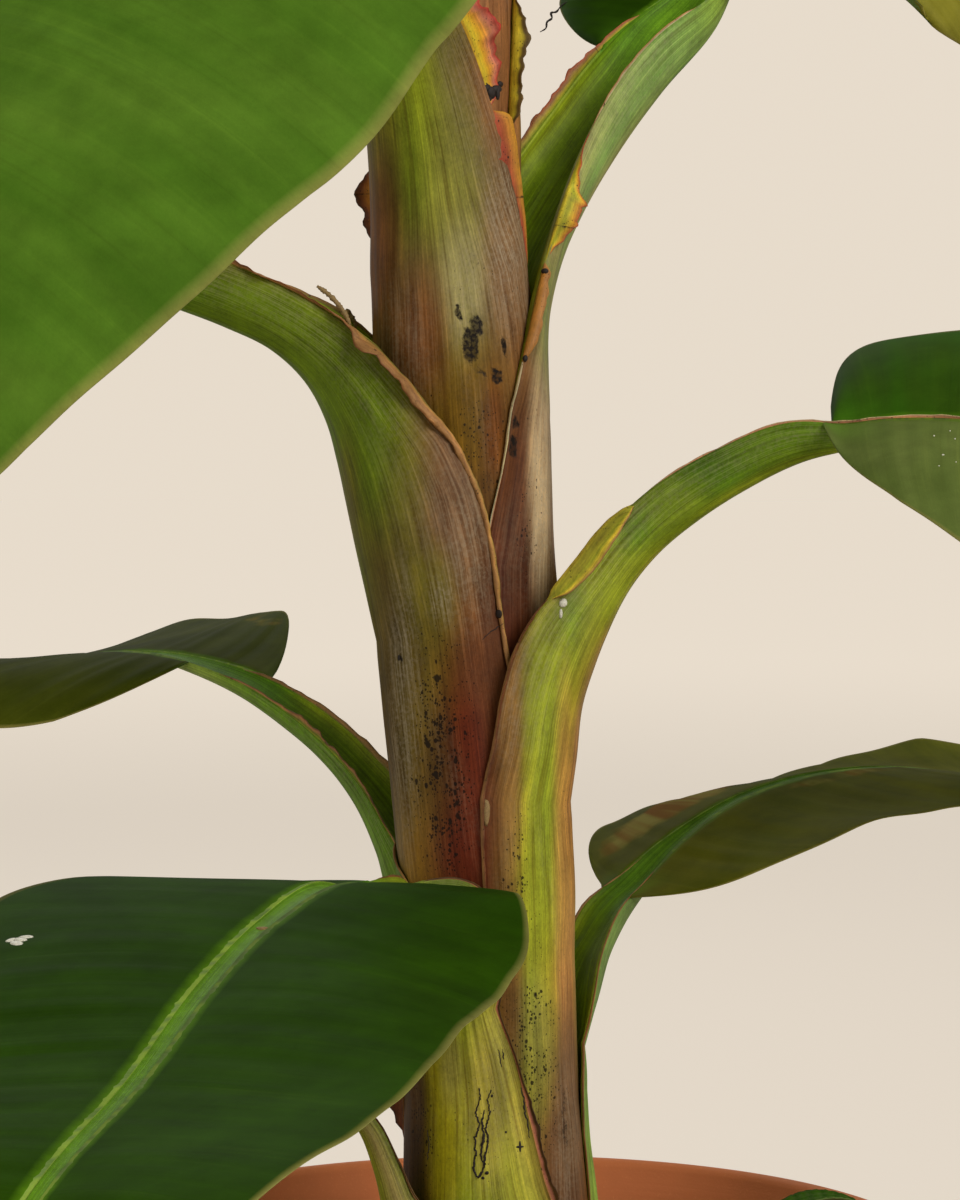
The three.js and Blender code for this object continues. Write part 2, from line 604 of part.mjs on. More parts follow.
// Height of the soil at a distance from the pot's axis: level round the stem, lower by the wall.
function soilHeight(radius) {
  const fall = clamp((radius - SOIL_LEVEL_RADIUS) / (SOIL_EDGE_RADIUS - SOIL_LEVEL_RADIUS), 0, 1);
  return SOIL_TOP + SOIL_CROWN - (SOIL_CROWN - 1) * fall;
}

function wallRadius(z) {
  return POT_FOOT_RADIUS + (POT_RIM_RADIUS - POT_FOOT_RADIUS) * z / POT_HEIGHT;
}

function potSolid() {
  const filletTop = POT_FLOOR + POT_FILLET;
  let pot = lathe([
    [0, 0], [POT_FOOT_RADIUS - POT_EDGE, 0], [wallRadius(POT_EDGE), POT_EDGE],
    [wallRadius(POT_HEIGHT - POT_EDGE), POT_HEIGHT - POT_EDGE], [POT_RIM_RADIUS - POT_EDGE, POT_HEIGHT],
    [POT_RIM_RADIUS - POT_WALL + POT_EDGE / 2, POT_HEIGHT],
    [POT_RIM_RADIUS - POT_WALL, POT_HEIGHT - POT_EDGE], [wallRadius(filletTop) - POT_WALL, filletTop],
    [wallRadius(POT_FLOOR) - POT_WALL - POT_FILLET, POT_FLOOR], [0, POT_FLOOR],
  ], POT_SEGMENTS);
  for (let i = 0; i < DRAIN_HOLES; i++) {
    const a = 2 * Math.PI * (i + 0.5) / DRAIN_HOLES;
    const centre = [DRAIN_RING * Math.cos(a), DRAIN_RING * Math.sin(a)];
    const drain = post(DRAIN_RADIUS, DRAIN_RADIUS, -POT_EDGE, POT_FLOOR + POT_EDGE, centre, DRAIN_SEGMENTS);
    pot = pot.subtract(drain);
  }
  return pot;
}

function soilSolid() {
  const inside = (z) => wallRadius(z) - POT_WALL - SOIL_CLEARANCE;
  const filletTop = POT_FLOOR + POT_FILLET;
  return lathe([
    [0, POT_FLOOR + GAP], [inside(POT_FLOOR) - POT_FILLET, POT_FLOOR + GAP],
    [inside(filletTop), filletTop + GAP], [inside(SOIL_TOP), SOIL_TOP],
    [SOIL_EDGE_RADIUS, soilHeight(SOIL_EDGE_RADIUS)],
    [SOIL_LEVEL_RADIUS, soilHeight(SOIL_LEVEL_RADIUS)], [0, soilHeight(0)],
  ], SOIL_SEGMENTS);
}

function rollSolid(grow) {
  const foot = STEM_TOP_Z + GAP;
  const rings = [];
  const middle = (share) => {
    const lean = ROLL_LEAN * share * share;
    const height = foot + (ROLL_TOP_Z - foot) * share;
    return new THREE.Vector3(axisX(STEM_TOP_Z) - lean / 2, lean, height);
  };
  for (let i = 0; i <= ROLL_LEVELS; i++) {
    const share = i / ROLL_LEVELS;
    const radius = ROLL_BASE_RADIUS * (1 - share) ** ROLL_TAPER + ROLL_TIP_RADIUS + grow;
    const ends = i === 0 ? -grow : i === ROLL_LEVELS ? grow : 0;
    const ring = [];
    for (let j = 0; j < ROLL_SEGMENTS; j++) {
      const a = 2 * Math.PI * j / ROLL_SEGMENTS;
      ring.push(middle(share).add(new THREE.Vector3(radius * Math.cos(a), radius * Math.sin(a), ends)));
    }
    rings.push(ring);
  }
  return solidFromRings(rings, middle(0).setZ(foot - grow), middle(1).setZ(ROLL_TOP_Z + grow));
}

function shootStem(grow) {
  const base = soilHeight(Math.hypot(SHOOT.x, SHOOT.y) - SHOOT.radius) + GAP;
  const [low, high] = [base - grow, base + SHOOT.height + grow];
  const { x, y, radius, taper, segments } = SHOOT;
  return post(radius + grow, radius * taper + grow, low, high, [x, y], segments);
}

// Narrow leaf of the side shoot, folded up along its middle.
function swordSolid(leaf) {
  const { out, side, up } = frameOf({ ...leaf, sheath: [[SOIL_TOP]] });
  const foot = new THREE.Vector3(SHOOT.x, SHOOT.y, SOIL_TOP + SHOOT.height * SHOOT.leafShare);
  const upper = [];
  for (let i = 0; i <= SHOOT_LEAF_STATIONS; i++) {
    const s = i / SHOOT_LEAF_STATIONS;
    const wide = Math.max(leaf.width * Math.sin(Math.PI * s ** 0.8) ** 0.8, leaf.width * NARROWEST);
    const middle = foot.clone().addScaledVector(out, leaf.length * s)
      .addScaledVector(up, leaf.rise * s - leaf.droop * s * s);
    upper.push([-1, -0.5, 0, 0.5, 1].map((q) => middle.clone().addScaledVector(side, wide * q)
      .addScaledVector(up, wide * SHOOT_LEAF_FOLD * q * q)));
  }
  const lower = upper.map((row) => row.map((p) => p.clone().addScaledVector(up, -SHOOT_LEAF_THICKNESS)));
  return solidFromGrids(upper, lower);
}

function cut(body, tools) {
  return tools.reduce((left, tool) => left.subtract(tool), body);
}

const group = new THREE.Group();
group.name = 'banana_plant';

group.add(meshOf('pot', potSolid(), COLOURS.pot, 0.85));
group.add(meshOf('soil', soilSolid(), COLOURS.soil, 1));
group.add(meshOf('stem', stemSolid(0), COLOURS.stem, 0.7));
group.add(meshOf('rolled_leaf', rollSolid(0), COLOURS.roll, 0.5));

// Each younger limb is already in place when the next older one is cut round it.
const placed = [stemSolid(GAP), rollSolid(GAP)];
LEAVES.forEach((leaf, order) => {
  const limb = cut(limbSolid(leaf, order, 0), placed);
  group.add(meshOf(`petiole_${leaf.name}`, limb, COLOURS.limb, 0.5));
  placed.push(limbSolid(leaf, order, GAP));
});

for (const leaf of LEAVES) {
  const halves = [['base', 0, leaf.bend, BASE_STATIONS], ['tip', leaf.bend + BEND_GAP, 1, TIP_STATIONS]];
  const pieces = leaf.bend ? halves : [['whole', 0, 1, WHOLE_STATIONS]];
  for (const [end, from, to, stations] of pieces) {
    const blade = cut(bladeSolid(leaf, from, to, stations), placed);
    group.add(meshOf(`blade_${leaf.name}_${end}`, blade, COLOURS.blade, 0.45));
  }
}

group.add(meshOf('shoot_stem', shootStem(0), COLOURS.roll, 0.6));
for (const leaf of SHOOT_LEAVES) {
  group.add(meshOf(leaf.name, cut(swordSolid(leaf), [shootStem(GAP)]), COLOURS.blade, 0.45));
}

export default group;
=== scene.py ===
"""Young banana plant in a clay-coloured pot, laid out as a Blender add-on and run as a script.

Lengths in the tables are millimetres and azimuths are degrees from +X, counter-clockwise seen from above.
Each leaf is one mesh: its sheath round the stem, its gutter-shaped petiole, its midrib and both blade halves.
"""
import math

import bmesh
import bpy
import numpy as np
from mathutils import Matrix, Vector
from mathutils.bvhtree import BVHTree


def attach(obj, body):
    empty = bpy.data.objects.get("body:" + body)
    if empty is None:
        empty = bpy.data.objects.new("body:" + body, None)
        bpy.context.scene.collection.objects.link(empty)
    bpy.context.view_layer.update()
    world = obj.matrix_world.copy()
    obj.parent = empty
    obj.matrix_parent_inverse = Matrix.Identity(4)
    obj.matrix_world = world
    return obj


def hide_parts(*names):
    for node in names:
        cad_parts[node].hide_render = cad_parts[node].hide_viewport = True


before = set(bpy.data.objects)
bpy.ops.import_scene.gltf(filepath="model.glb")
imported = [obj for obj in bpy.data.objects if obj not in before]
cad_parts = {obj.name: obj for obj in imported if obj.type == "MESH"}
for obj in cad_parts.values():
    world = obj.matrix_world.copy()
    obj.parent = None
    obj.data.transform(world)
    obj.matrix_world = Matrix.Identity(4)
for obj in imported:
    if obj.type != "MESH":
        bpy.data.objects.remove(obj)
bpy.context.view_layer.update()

MM = 0.001

bl_info = {
    "name": "Potted banana plant",
    "version": (1, 0, 0),
    "blender": (4, 5, 0),
    "location": "View3D > Sidebar > Banana",
    "description": "Builds a young banana plant in a clay-coloured pot, leaf by leaf",
    "category": "Add Mesh",
}

# Stem: its axis leans to -X going up, and its core is what the leaf sheaths wrap.
SOIL_TOP = 184.0
STEM_TOP = 580.0
LEAN_FOOT, LEAN_START, LEAN_END = 180.0, 215.0, 495.0
LEAN_LOW, LEAN_HIGH = 0.055, 0.012
AXIS_AT_START = -2.0
CORE_RADII = [(150, 19), (185, 17), (221, 14.3), (250, 13), (290, 12.8), (333, 14.5), (376, 16.1),
              (446, 16.5), (493, 16), (557, 16.5), (600, 14.5), (700, 10), (900, 5)]
SHEATH_SHARE = [(180, 0.85), (250, 0.8), (333, 1)]
MARGIN_SHARE, MARGIN_START, MARGIN_FADE = 0.25, 0.62, 12.0
SHOULDER_BELOW, SHOULDER_ABOVE = 4.0, 2.0

# Petioles and blades.
WRAP_LENGTH = 30.0
WALL_SHARE, WALL_LEAST = 0.42, 3.0
LIP_START, LIP_THINNING = 0.45, 0.7
RIB_LEAD = 10.0
RIB_THINNING, RIB_SETTLE, RIB_TAPER, RIB_LEAST = 0.62, 0.16, 0.75, 0.3
RIB_OPEN = 82
TURN_BELOW, SHIFT_BELOW = 40, 30
LEVEL_BELOW = 5.0
BEFORE_BLADE, AFTER_LIMB = 4, 26
SHEATH_STEP, STALK_STEP, BEND_STEP, BLADE_STEP = 2.3, 1.7, 1.0, 2.4
ROUND_BASE, TIP_START, TIP_POWER = 0.2, 0.3, 1.7
SWEEP, SWEEP_GROWTH, SWEEP_ZERO, SWEEP_POWER = 0.18, 0.35, 0.25, 1.6
BLADE_THICKNESS = 0.5
GUTTER_COLUMNS = 53
BLADE_COLUMNS = 26
STEM_CLEARANCE, OUTER_CLEARANCE = 0.25, 0.6
# Unevenness, as (cycles per unit, height): ridges across and drift along a sheath, waves, veins and bulges.
RIDGES = [(4.3, 0.10), (7.1, 0.09), (11.7, 0.07), (16.3, 0.05)]
DRIFT_ALONG, DRIFT_ACROSS = [(0.013, 0.25), (0.031, 0.12)], [(0.7, 1), (1.9, 0.6)]
BLADE_WAVES, BULGES = [(0.0105, 0.6), (0.019, 0.4), (0.037, 0.15)], [(0.008, 1.0)]
VEINS = [(0.06, 0.16), (0.115, 0.12), (0.16, 0.06)]

# Colours as they look in daylight, 0 to 255.
TONES = {
    "deep": (38, 74, 14), "leaf": (52, 92, 20), "mid": (72, 112, 28), "bright": (96, 148, 42),
    "pale": (132, 164, 92), "under": (126, 148, 92), "petiole": (92, 132, 18), "moss": (96, 112, 22),
    "olive": (108, 98, 32), "lime": (152, 166, 48), "acid": (140, 154, 18), "yellow": (178, 164, 48),
    "straw": (190, 176, 118), "cream": (206, 198, 170), "peach": (196, 146, 92), "tan": (178, 132, 92),
    "red": (168, 62, 52), "amber": (188, 122, 40), "ochre": (146, 106, 28),
    "brown": (122, 84, 50), "umber": (84, 60, 26), "maroon": (92, 36, 20), "plum": (88, 50, 32),
    "lilac": (128, 100, 74), "grey": (118, 104, 62), "black": (24, 16, 9), "bark": (70, 42, 22),
    "sky_green": (84, 120, 30), "khaki": (146, 142, 76), "frost": (176, 168, 122),
    "mauve": (132, 102, 74), "russet": (126, 68, 36), "sepia": (108, 74, 38), "meadow": (104, 130, 8),
    "sage": (120, 116, 40), "dust": (104, 84, 44), "wine": (98, 36, 20), "damson": (92, 54, 32),
    "leaf_lime": (150, 162, 52), "biscuit": (152, 116, 70), "heather": (118, 88, 66), "coffee": (86, 56, 24),
    "mint": (132, 152, 84), "hazel": (112, 92, 36), "dusk": (158, 110, 76), "flame": (196, 128, 52),
    "blush": (206, 140, 120), "paper": (214, 190, 156), "fern": (66, 98, 30), "bottle": (34, 60, 4),
    "bottle_light": (42, 72, 6), "loden": (58, 66, 14), "loden_light": (76, 82, 26), "ivy": (54, 80, 20),
    # The dove tones are grey-green with painted sheen and painted light in them, for a blade half seen at a
    # glancing angle.
    "sheen_dove": (92, 106, 58), "sage_lime": (120, 140, 34), "rust": (128, 70, 26),
    "rib": (92, 134, 30), "fern_light": (84, 114, 42), "pine": (102, 128, 6), "sheen_dove_light": (112, 124, 74),
    "citron": (166, 156, 10), "lemon": (222, 200, 58), "marigold": (226, 160, 44),
    "swamp": (84, 88, 18), "swamp_light": (104, 104, 30), "crimson": (176, 52, 44), "butter": (198, 184, 88),
         "copper": (104, 54, 14), "tawny": (104, 76, 18),
}

DEEPENING, FADING = 0.4, 0.75

# Leaves from the youngest to the oldest. az: azimuth. t: sheath thickness. foot: height where the modelled
# sheath begins, hidden under older ones. sheath: (height, half-angle towards growing azimuth, half-angle
# towards falling azimuth). limb: back of the petiole as (distance from the stem's axis, height, section
# radius, half-angle, half-angle). rib: midrib as (distance, height, sideways). w: half widths. beta: slopes
# of each half at the rib and at the margin. start: where each half begins, as a share of the rib.
# wave: height of the blade's waves. tilt: degrees added to each half's slope, at shares of the rib. round,
# tip and sweep: base, point and forward lean of each half. drift: (start, end, shift) of a petiole that
# bends sideways. tones: across the outside, from -1 at one lip to 1 at the other, at distances along the
# leaf's back. green: the upper tones of each half. inside: tone of the gutter. faded: (half, how far
# across, how far along) where it turns khaki.
LEAVES = [
    dict(name="top_front", az=300, t=2.6, foot=450,
        sheath=[(180, 150, 150), (540, 110, 110), (580, 95, 95)],
        limb=[(17.5, 580, 17, 95, 95), (19, 612, 14.5, 90, 90), (24, 642, 12, 90, 90),
        (34, 672, 10, 90, 90), (48, 700, 8.5, 85, 85)],
        rib=[(42, 696, 0), (52, 716, 0), (70, 746, 0), (105, 800, 0), (150, 850, 0), (205, 885, 0),
        (265, 900, 0), (325, 890, 0)],
        w=(82, 82), beta=(28, 5, 28, 5), start=(0, 0), wave=2.0,
        tones=[(450, "brown lilac brown"), (560, "olive dusk brown"), (620, "moss pale petiole moss"),
        (720, "petiole pale petiole")]),
    dict(name="top_back", az=92, t=2.6, foot=400,
        sheath=[(180, 150, 150), (500, 125, 125), (530, 112, 112)],
        limb=[(18.6, 530, 18.4, 112, 112), (20.5, 556, 17.5, 108, 108), (25, 585, 14.5, 100, 100),
        (34, 612, 11.5, 95, 95), (50, 640, 10, 90, 90), (70, 663, 9, 85, 85)],
        rib=[(60, 661, 0), (72, 675, 0), (100, 700, 0), (145, 735, 0), (200, 762, 0), (260, 772, 0),
        (320, 760, 0), (375, 725, 0), (415, 670, 0)],
        w=(98, 98), beta=(24, -18, 24, -18), start=(0, 0), wave=3.0,
        tones=[(400, "dusk brown brown dusk"), (560, "dusk olive brown dusk"), (620, "moss petiole moss"),
        (700, "petiole pale petiole")]),
    dict(name="upper_front", az=247, t=3.0, foot=335,
        sheath=[(180, 150, 150), (440, 130, 125), (465, 124, 122), (480, 113, 122)],
        limb=[(21.4, 480, 21.4, 113, 122), (22.4, 497, 21.5, 86, 120), (25.5, 514, 21, 73, 118),
        (32, 531, 19, 68, 112), (43, 546, 15.5, 72, 105), (58, 558, 12, 80, 98), (78, 566, 10, 88, 92),
        (100, 570, 9, 85, 85)],
        rib=[(91, 575, 0), (104, 578, 0), (130, 582, 0), (165, 578, -3), (200, 560, -9), (235, 528, -18),
        (270, 486, -28), (300, 438, -38), (322, 390, -48), (336, 345, -56)],
        green=("fern", "fern_light", "fern", "fern_light"),
        w=(112, 86), beta=(3, -31, 15, -20), start=(0, 0), wave=1.0, tip=(0.95, 1.7), tilt=[(0, 0, 0),
        (0.3, 0, 0), (0.45, 6, 0), (0.65, 15, 0)],
        tones=[(400, "plum brown ochre ochre ochre brown"), (425, "plum brown brown ochre brown brown"),
        (460, "plum brown brown olive brown lilac"), (482, "brown brown olive grey lilac lilac"),
        (505, "olive brown moss lime grey lilac"), (530, "moss olive lime lime grey brown"),
        (560, "moss petiole lime lime moss moss"), (640, "petiole petiole lime petiole petiole")]),
    dict(name="upper_right", az=40, t=2.6, foot=315,
        sheath=[(180, 150, 150), (400, 118, 118), (425, 105, 100), (440, 103, 92)],
        limb=[(24, 440, 24, 103, 92), (24.6, 452, 23.5, 100, 84), (27, 467, 21.5, 98, 75),
        (32.4, 482, 18, 95, 78), (41.4, 497, 15, 104, 92), (55, 514.5, 13, 114, 110),
        (73.5, 534.5, 12.6, 114, 114), (94, 553.5, 12.4, 96, 96)],
        rib=[(70, 542, 0), (92, 568, 0), (112, 587, 0), (140, 606, 0), (180, 626, 0), (230, 638, 0),
        (290, 636, 0), (345, 614, 0), (395, 572, 0), (425, 528, 0)],
        w=(92, 92), green=("bottle", "bottle_light", "sage", "khaki"), beta=(22, -20, 5, -34),
        start=(0, 0.08), wave=2.5, round=(0.3, 0.2), inside="pine", tilt=[(0, 0, 0), (0.09, 0, -8),
        (0.14, 0, -62), (0.3, 0, -86), (0.5, 0, -64), (0.75, 0, -10)],
        tones=[(330, "maroon plum brown straw olive olive brown"),
        (400, "maroon plum brown straw straw olive brown"),
        (440, "brown plum grey cream straw olive brown"),
        (465, "brown grey straw pale lime petiole moss"),
        (500, "frost pale straw lime lime petiole moss"),
        (560, "pale pale petiole lime petiole petiole")]),
    dict(name="middle_left", az=190, t=3.2, foot=186,
        sheath=[(180, 150, 150), (340, 112, 125), (378, 105, 120)],
        limb=[(26, 378, 25.8, 105, 120), (31.2, 400.6, 25.5, 109, 120), (34.6, 416.6, 25, 108, 120),
        (37.2, 428.6, 23.8, 103, 118), (40, 438.8, 21.6, 94, 114), (46, 450.2, 18.2, 90, 110),
        (55.6, 459.2, 15.4, 90, 106), (68, 465.2, 13.2, 100, 104), (82.4, 470.6, 12, 106, 104),
        (110.6, 480, 10.6, 100, 100), (135, 487.6, 9.6, 85, 85)],
        rib=[(125, 494.5, 0), (142, 499.5, 0), (175, 508, 0), (225, 508, 0), (280, 492, 0), (335, 460, 0),
        (385, 412, 0), (415, 365, 0)],
        w=(88, 88), beta=(18, -28, 18, -28), start=(0, 0), wave=2.5,
        tones=[(200, "brown olive umber umber olive ochre brown maroon maroon"),
        (320, "brown olive umber umber grey ochre brown maroon maroon"),
        (350, "brown olive olive umber grey olive ochre brown plum"),
        (380, "brown olive moss moss olive grey olive brown plum"),
        (410, "moss moss petiole moss moss olive grey lilac lilac"),
        (440, "moss petiole petiole moss petiole moss olive brown brown"),
        (480, "petiole sky_green petiole moss petiole petiole sky_green moss olive"),
        (560, "petiole sky_green petiole moss petiole petiole sky_green petiole olive")]),
    # The dove greens on this leaf's falling half are partly the leaf's own green and partly painted sheen and
    # painted light.
    dict(name="middle_right", az=345, t=3.2, foot=186,
        sheath=[(180, 150, 150), (250, 110, 84), (310, 105, 74), (333, 105, 71)],
        limb=[(25.9, 333, 25.7, 105, 71), (27.6, 345, 25.5, 104, 70), (29.6, 361, 25, 100, 71),
        (32.7, 370.6, 24, 98, 74), (36, 379, 22, 96, 75), (43.9, 394, 16.5, 96, 76),
        (51, 402.5, 13, 98, 90), (62.5, 412, 10.2, 100, 110), (75, 420, 8.8, 102, 118),
        (92.8, 428.5, 8, 98, 112), (105, 431.5, 7.4, 85, 90)],
        rib=[(98, 437, 0), (116, 440, 0), (141, 439.5, 0), (180, 432, 0), (225, 414, 0), (270, 386, 0),
        (310, 350, 0), (345, 308, 0), (368, 270, 0)], green=("ivy", "leaf", "sheen_dove", "sheen_dove_light"),
        w=(68, 70), beta=(34, 15, -22, -42), start=(0, 0), wave=1.5, round=(0.05, 0.16),
        sweep=(-0.07, 0.18),
        tones=[(200, "brown olive ochre plum plum brown straw olive olive olive brown"),
        (245, "brown olive olive brown plum brown straw olive olive olive brown"),
        (285, "maroon olive lime yellow peach peach straw olive olive olive brown"),
        (330, "maroon brown yellow lime lime peach tan olive olive olive brown"),
        (370, "brown grey lime lime yellow peach tan moss moss olive brown"),
        (395, "brown pale bright lime lime yellow straw moss moss moss brown"),
        (430, "sky_green sky_green petiole petiole lime lime moss petiole petiole petiole moss"),
        (520, "sky_green sky_green petiole moss lime lime petiole petiole petiole petiole moss")]),
    dict(name="lower_left", az=137, t=2.2, foot=186,
        sheath=[(180, 150, 150), (265, 115, 115), (288, 100, 100)],
        limb=[(25.4, 288, 24, 100, 100), (28.2, 298, 21, 98, 98), (33, 307, 16.5, 96, 96),
        (39, 316, 12.5, 95, 95), (47.4, 327, 9.5, 95, 90), (56, 335, 8, 95, 92), (66, 342, 7, 95, 105),
        (80, 349.5, 6.4, 95, 110), (97, 357, 6, 90, 100), (119, 363.5, 5.6, 80, 80)],
        rib=[(86, 359, 0), (119, 369, 0), (150, 370, 0), (195, 364, 0), (240, 350, 0), (285, 326, 0),
        (320, 296, 0), (343, 262, 0)], green=("loden", "loden_light", "loden", "loden_light"),
        w=(62, 50), faded=(0, 0.5, 0.3), beta=(-10, -28, 8, 2), start=(0.11, 0.03), wave=1.5,
        round=(0.14, 0.07), sweep=(0.18, 0.78), tilt=[(0, -12, 7), (0.15, -12, 9), (0.23, 2, 8),
        (0.34, 30, 6), (0.5, 44, 6)],
        tones=[(200, "brown brown olive olive brown"), (288, "olive moss petiole petiole moss"),
        (320, "petiole petiole petiole petiole petiole"), (420, "petiole petiole moss petiole petiole")]),
    dict(name="lower_front", az=252, t=2.8, foot=186,
        sheath=[(180, 80, 120), (228, 48, 105), (246, 41, 100), (264, 34, 98), (278, 24, 96)],
        limb=[(25.6, 278, 25.5, 24, 96), (29, 290, 20, 36, 92), (39, 301, 14, 66, 85),
        (52, 308, 10, 82, 85), (66, 311.5, 8, 80, 80), (80, 313, 7, 72, 72)],
        rib=[(71, 316.5, -3), (84, 319.5, -5.5), (105, 321.5, -9.5), (138, 316, -12.5), (180, 305, -12.5),
        (223, 292, -10), (287, 277, -6), (335, 252, -6), (372, 218, -8)], drift=(34, 80, -5),
        w=(68, 76), beta=(-3, -22, 3, -4), start=(0, 0), wave=1.0, round=(0.2, 0.2), tip=(1.3, 1.7),
        inside="bottle_light", tilt=[(0, 14, 0), (0.07, 13, 0), (0.14, 9, 0), (0.25, 10, 0),
        (0.42, 21, 0), (0.7, 30, 0)],
        tones=[(200, "umber umber bark umber acid lime butter lime brown"),
        (245, "umber umber bark umber acid lime lime butter olive"),
        (280, "umber moss moss acid acid lime lime lime olive"),
        (320, "moss moss petiole petiole lime petiole petiole petiole moss")]),
    dict(name="lower_right", az=35, t=2.2, foot=186,
        sheath=[(180, 130, 60), (230, 100, 48), (262, 70, 42)],
        limb=[(26.2, 262, 24.5, 70, 42), (32, 275, 17, 56, 52), (38.5, 287, 12, 60, 70),
        (45, 296, 9.5, 75, 80), (53, 304, 7, 75, 75)],
        rib=[(44.5, 301.5, 0), (53, 310, 0), (63, 317.5, 0), (84.5, 328, 0), (109, 334, 0), (139, 336, 0),
        (177, 332, 0), (220, 320, 0), (258, 299, 0), (288, 270, 0)],
        green=("swamp", "swamp_light", "swamp", "swamp_light"),
        w=(46, 56), beta=(-8, -10, -12, -10), start=(0.01, 0), wave=1.5, round=(0.07, 0.22),
        sweep=(0.42, 0.18), tilt=[(0, 0, 5), (0.33, -4, 7), (0.42, 6, 12), (0.55, 36, 22), (0.8, 60, 28)],
        tones=[(200, "lime pale lime olive brown"), (262, "pale pale lime petiole olive"),
        (320, "pale pale pale petiole petiole")]),
    dict(name="lowest_left", az=208, t=1.6, foot=186,
        sheath=[(180, 90, 90), (196, 70, 75)],
        limb=[(31.5, 196, 28, 60, 65), (34.5, 208, 16, 70, 70), (37.5, 220, 9, 75, 75),
        (41, 233, 6.5, 75, 75), (46.5, 245, 5.5, 75, 75), (56, 253, 5, 70, 70)],
        rib=[(49, 251.5, 0), (60, 258.5, 0), (85, 263, 0), (115, 262, 0), (145, 254, 0), (172, 238, 0)],
        w=(26, 26), beta=(10, -20, 10, -20), start=(0, 0), wave=1.0,
        tones=[(200, "moss straw lime straw olive"), (240, "moss straw lime straw moss"),
        (300, "petiole pale pale petiole")]),
]

# Marks on the front of the sheaths, by leaf: (what, x, z, half width, half height, strength).
FRONT_MARKS = {
    "upper_front": [
        ("blot", -10.7, 460.2, 3.2, 7.0, 1.0), ("blot", -8.9, 465.5, 2.4, 4.4, 1.0),
        ("blot", -13.7, 469.2, 1.3, 3.4, 1.0), ("blot", -7.9, 453.0, 1.4, 1.6, 1.0),
        ("blot", -3.4, 451.6, 2.2, 3.2, 1.0), ("blot", -1.5, 460.0, 1.3, 4.0, 0.9),
        ("speckle", -8, 432, 14, 22, 0.55), ("bloom", 0, 492, 11, 34, 0.9),
        ("bloom", -12, 476, 8, 20, 0.55), ("bloom", -30, 458, 12, 26, 0.45)],
    "upper_right": [
        ("blot", 1.0, 432.6, 1.6, 4.6, 0.95), ("blot", 1.9, 439.2, 1.4, 3.0, 0.8),
        ("speckle", 5, 412, 5, 24, 0.5), ("bloom", 9.5, 420, 5, 40, 1.0)],
    "middle_left": [
        ("speckle", -18, 345, 12, 46, 0.95), ("speckle", -20, 372, 9, 22, 0.5),
        ("bloom", -29, 362, 5.5, 52, 0.95), ("bloom", -11, 404, 10, 26, 0.7),
        ("bloom", -18.5, 391, 5, 9, 0.9), ("blot", -2.3, 386.8, 1.5, 1.7, 1.0),
        ("blot", -30, 374.8, 1.0, 1.6, 1.0), ("blot", -19.5, 357, 1.4, 3.0, 0.8)],
    "middle_right": [
        ("speckle", 2, 312, 5, 30, 0.75), ("speckle", 6, 262, 12, 42, 0.7),
        ("blot", 15.5, 246, 2.2, 16, 0.5), ("bloom", 16, 238, 5, 30, 0.5), ("bloom", 0.5, 362, 4, 26, 0.5),
        ("blot", 7.4, 281, 1.0, 1.6, 0.9)],
    "lower_front": [
        ("speckle", -24, 245, 6, 34, 0.6), ("speckle", -2, 250, 8, 40, 0.25),
        ("bloom", -6, 250, 9, 34, 0.35)],
}

# Soft patches of colour on the front of the sheaths: (leaf, tone, x, z, half width, half height, strength).
FRONT_PATCHES = {
    "upper_front": [
        ("brown", -34, 487, 6, 46, 0.75), ("khaki", -16, 503, 9, 30, 0.8), ("frost", -13, 477, 8, 20, 0.8),
        ("mauve", 0, 483, 7, 26, 0.85), ("mauve", -25, 470, 8, 22, 0.6), ("tawny", -10, 440, 11, 22, 0.9),
        ("copper", -4, 436, 4, 22, 0.85), ("sepia", -8, 416, 12, 12, 0.7), ("russet", -24, 462, 9, 20, 0.6),
        ("rust", -36, 480, 5, 30, 0.6), ("dusk", -2, 530, 7, 20, 0.6)],
    "middle_left": [
        ("meadow", -48, 447, 24, 26, 0.95), ("meadow", -70, 464, 30, 20, 0.95),
        ("meadow", -36, 432, 10, 26, 0.8), ("sage", -28, 420, 8, 26, 0.6),
        ("hazel", -45, 415, 4.5, 24, 0.6), ("heather", -16, 412, 9, 22, 0.8),
        ("sage", -22, 392, 8, 16, 0.75), ("dust", -29, 362, 5, 50, 0.5), ("hazel", -21, 362, 9, 38, 0.75),
        ("wine", -12, 344, 10, 40, 0.95), ("umber", -20, 336, 7, 26, 0.6),
        ("damson", -5, 391, 4.5, 16, 0.75), ("damson", -9, 372, 7, 12, 0.7),
        ("umber", -35, 345, 6, 50, 0.8), ("wine", -13, 318, 9, 20, 0.8)],
    "middle_right": [
        ("leaf_lime", 10, 363, 7, 42, 0.85), ("leaf_lime", 8.5, 318, 6, 34, 0.7),
        ("biscuit", 0.5, 345, 3.4, 40, 0.85), ("peach", 15.5, 330, 3.6, 44, 0.8),
        ("brown", 0.5, 282, 5, 32, 0.85), ("khaki", 8.5, 268, 6, 24, 0.7), ("lilac", 17, 248, 6, 30, 0.9),
        ("leaf_lime", 27, 396, 12, 16, 0.9), ("sage_lime", 46, 414, 14, 12, 0.8),
        ("meadow", 74, 432, 22, 10, 0.5), ("khaki", 22, 372, 5, 26, 0.4)],
    "upper_right": [
        ("damson", 1.6, 412, 6, 36, 0.9), ("paper", 8.6, 424, 3.6, 40, 0.95), ("mint", 14, 470, 8, 26, 0.7),
        ("mint", 28, 505, 14, 22, 0.7)],
    "lower_front": [
        ("citron", -18, 248, 7, 32, 0.85), ("butter", -6, 254, 8, 32, 0.9),
        ("coffee", -26, 246, 5, 38, 0.9), ("khaki", -2.5, 262, 4, 20, 0.55),
        ("frost", -16, 262, 3.5, 14, 0.4)],
}

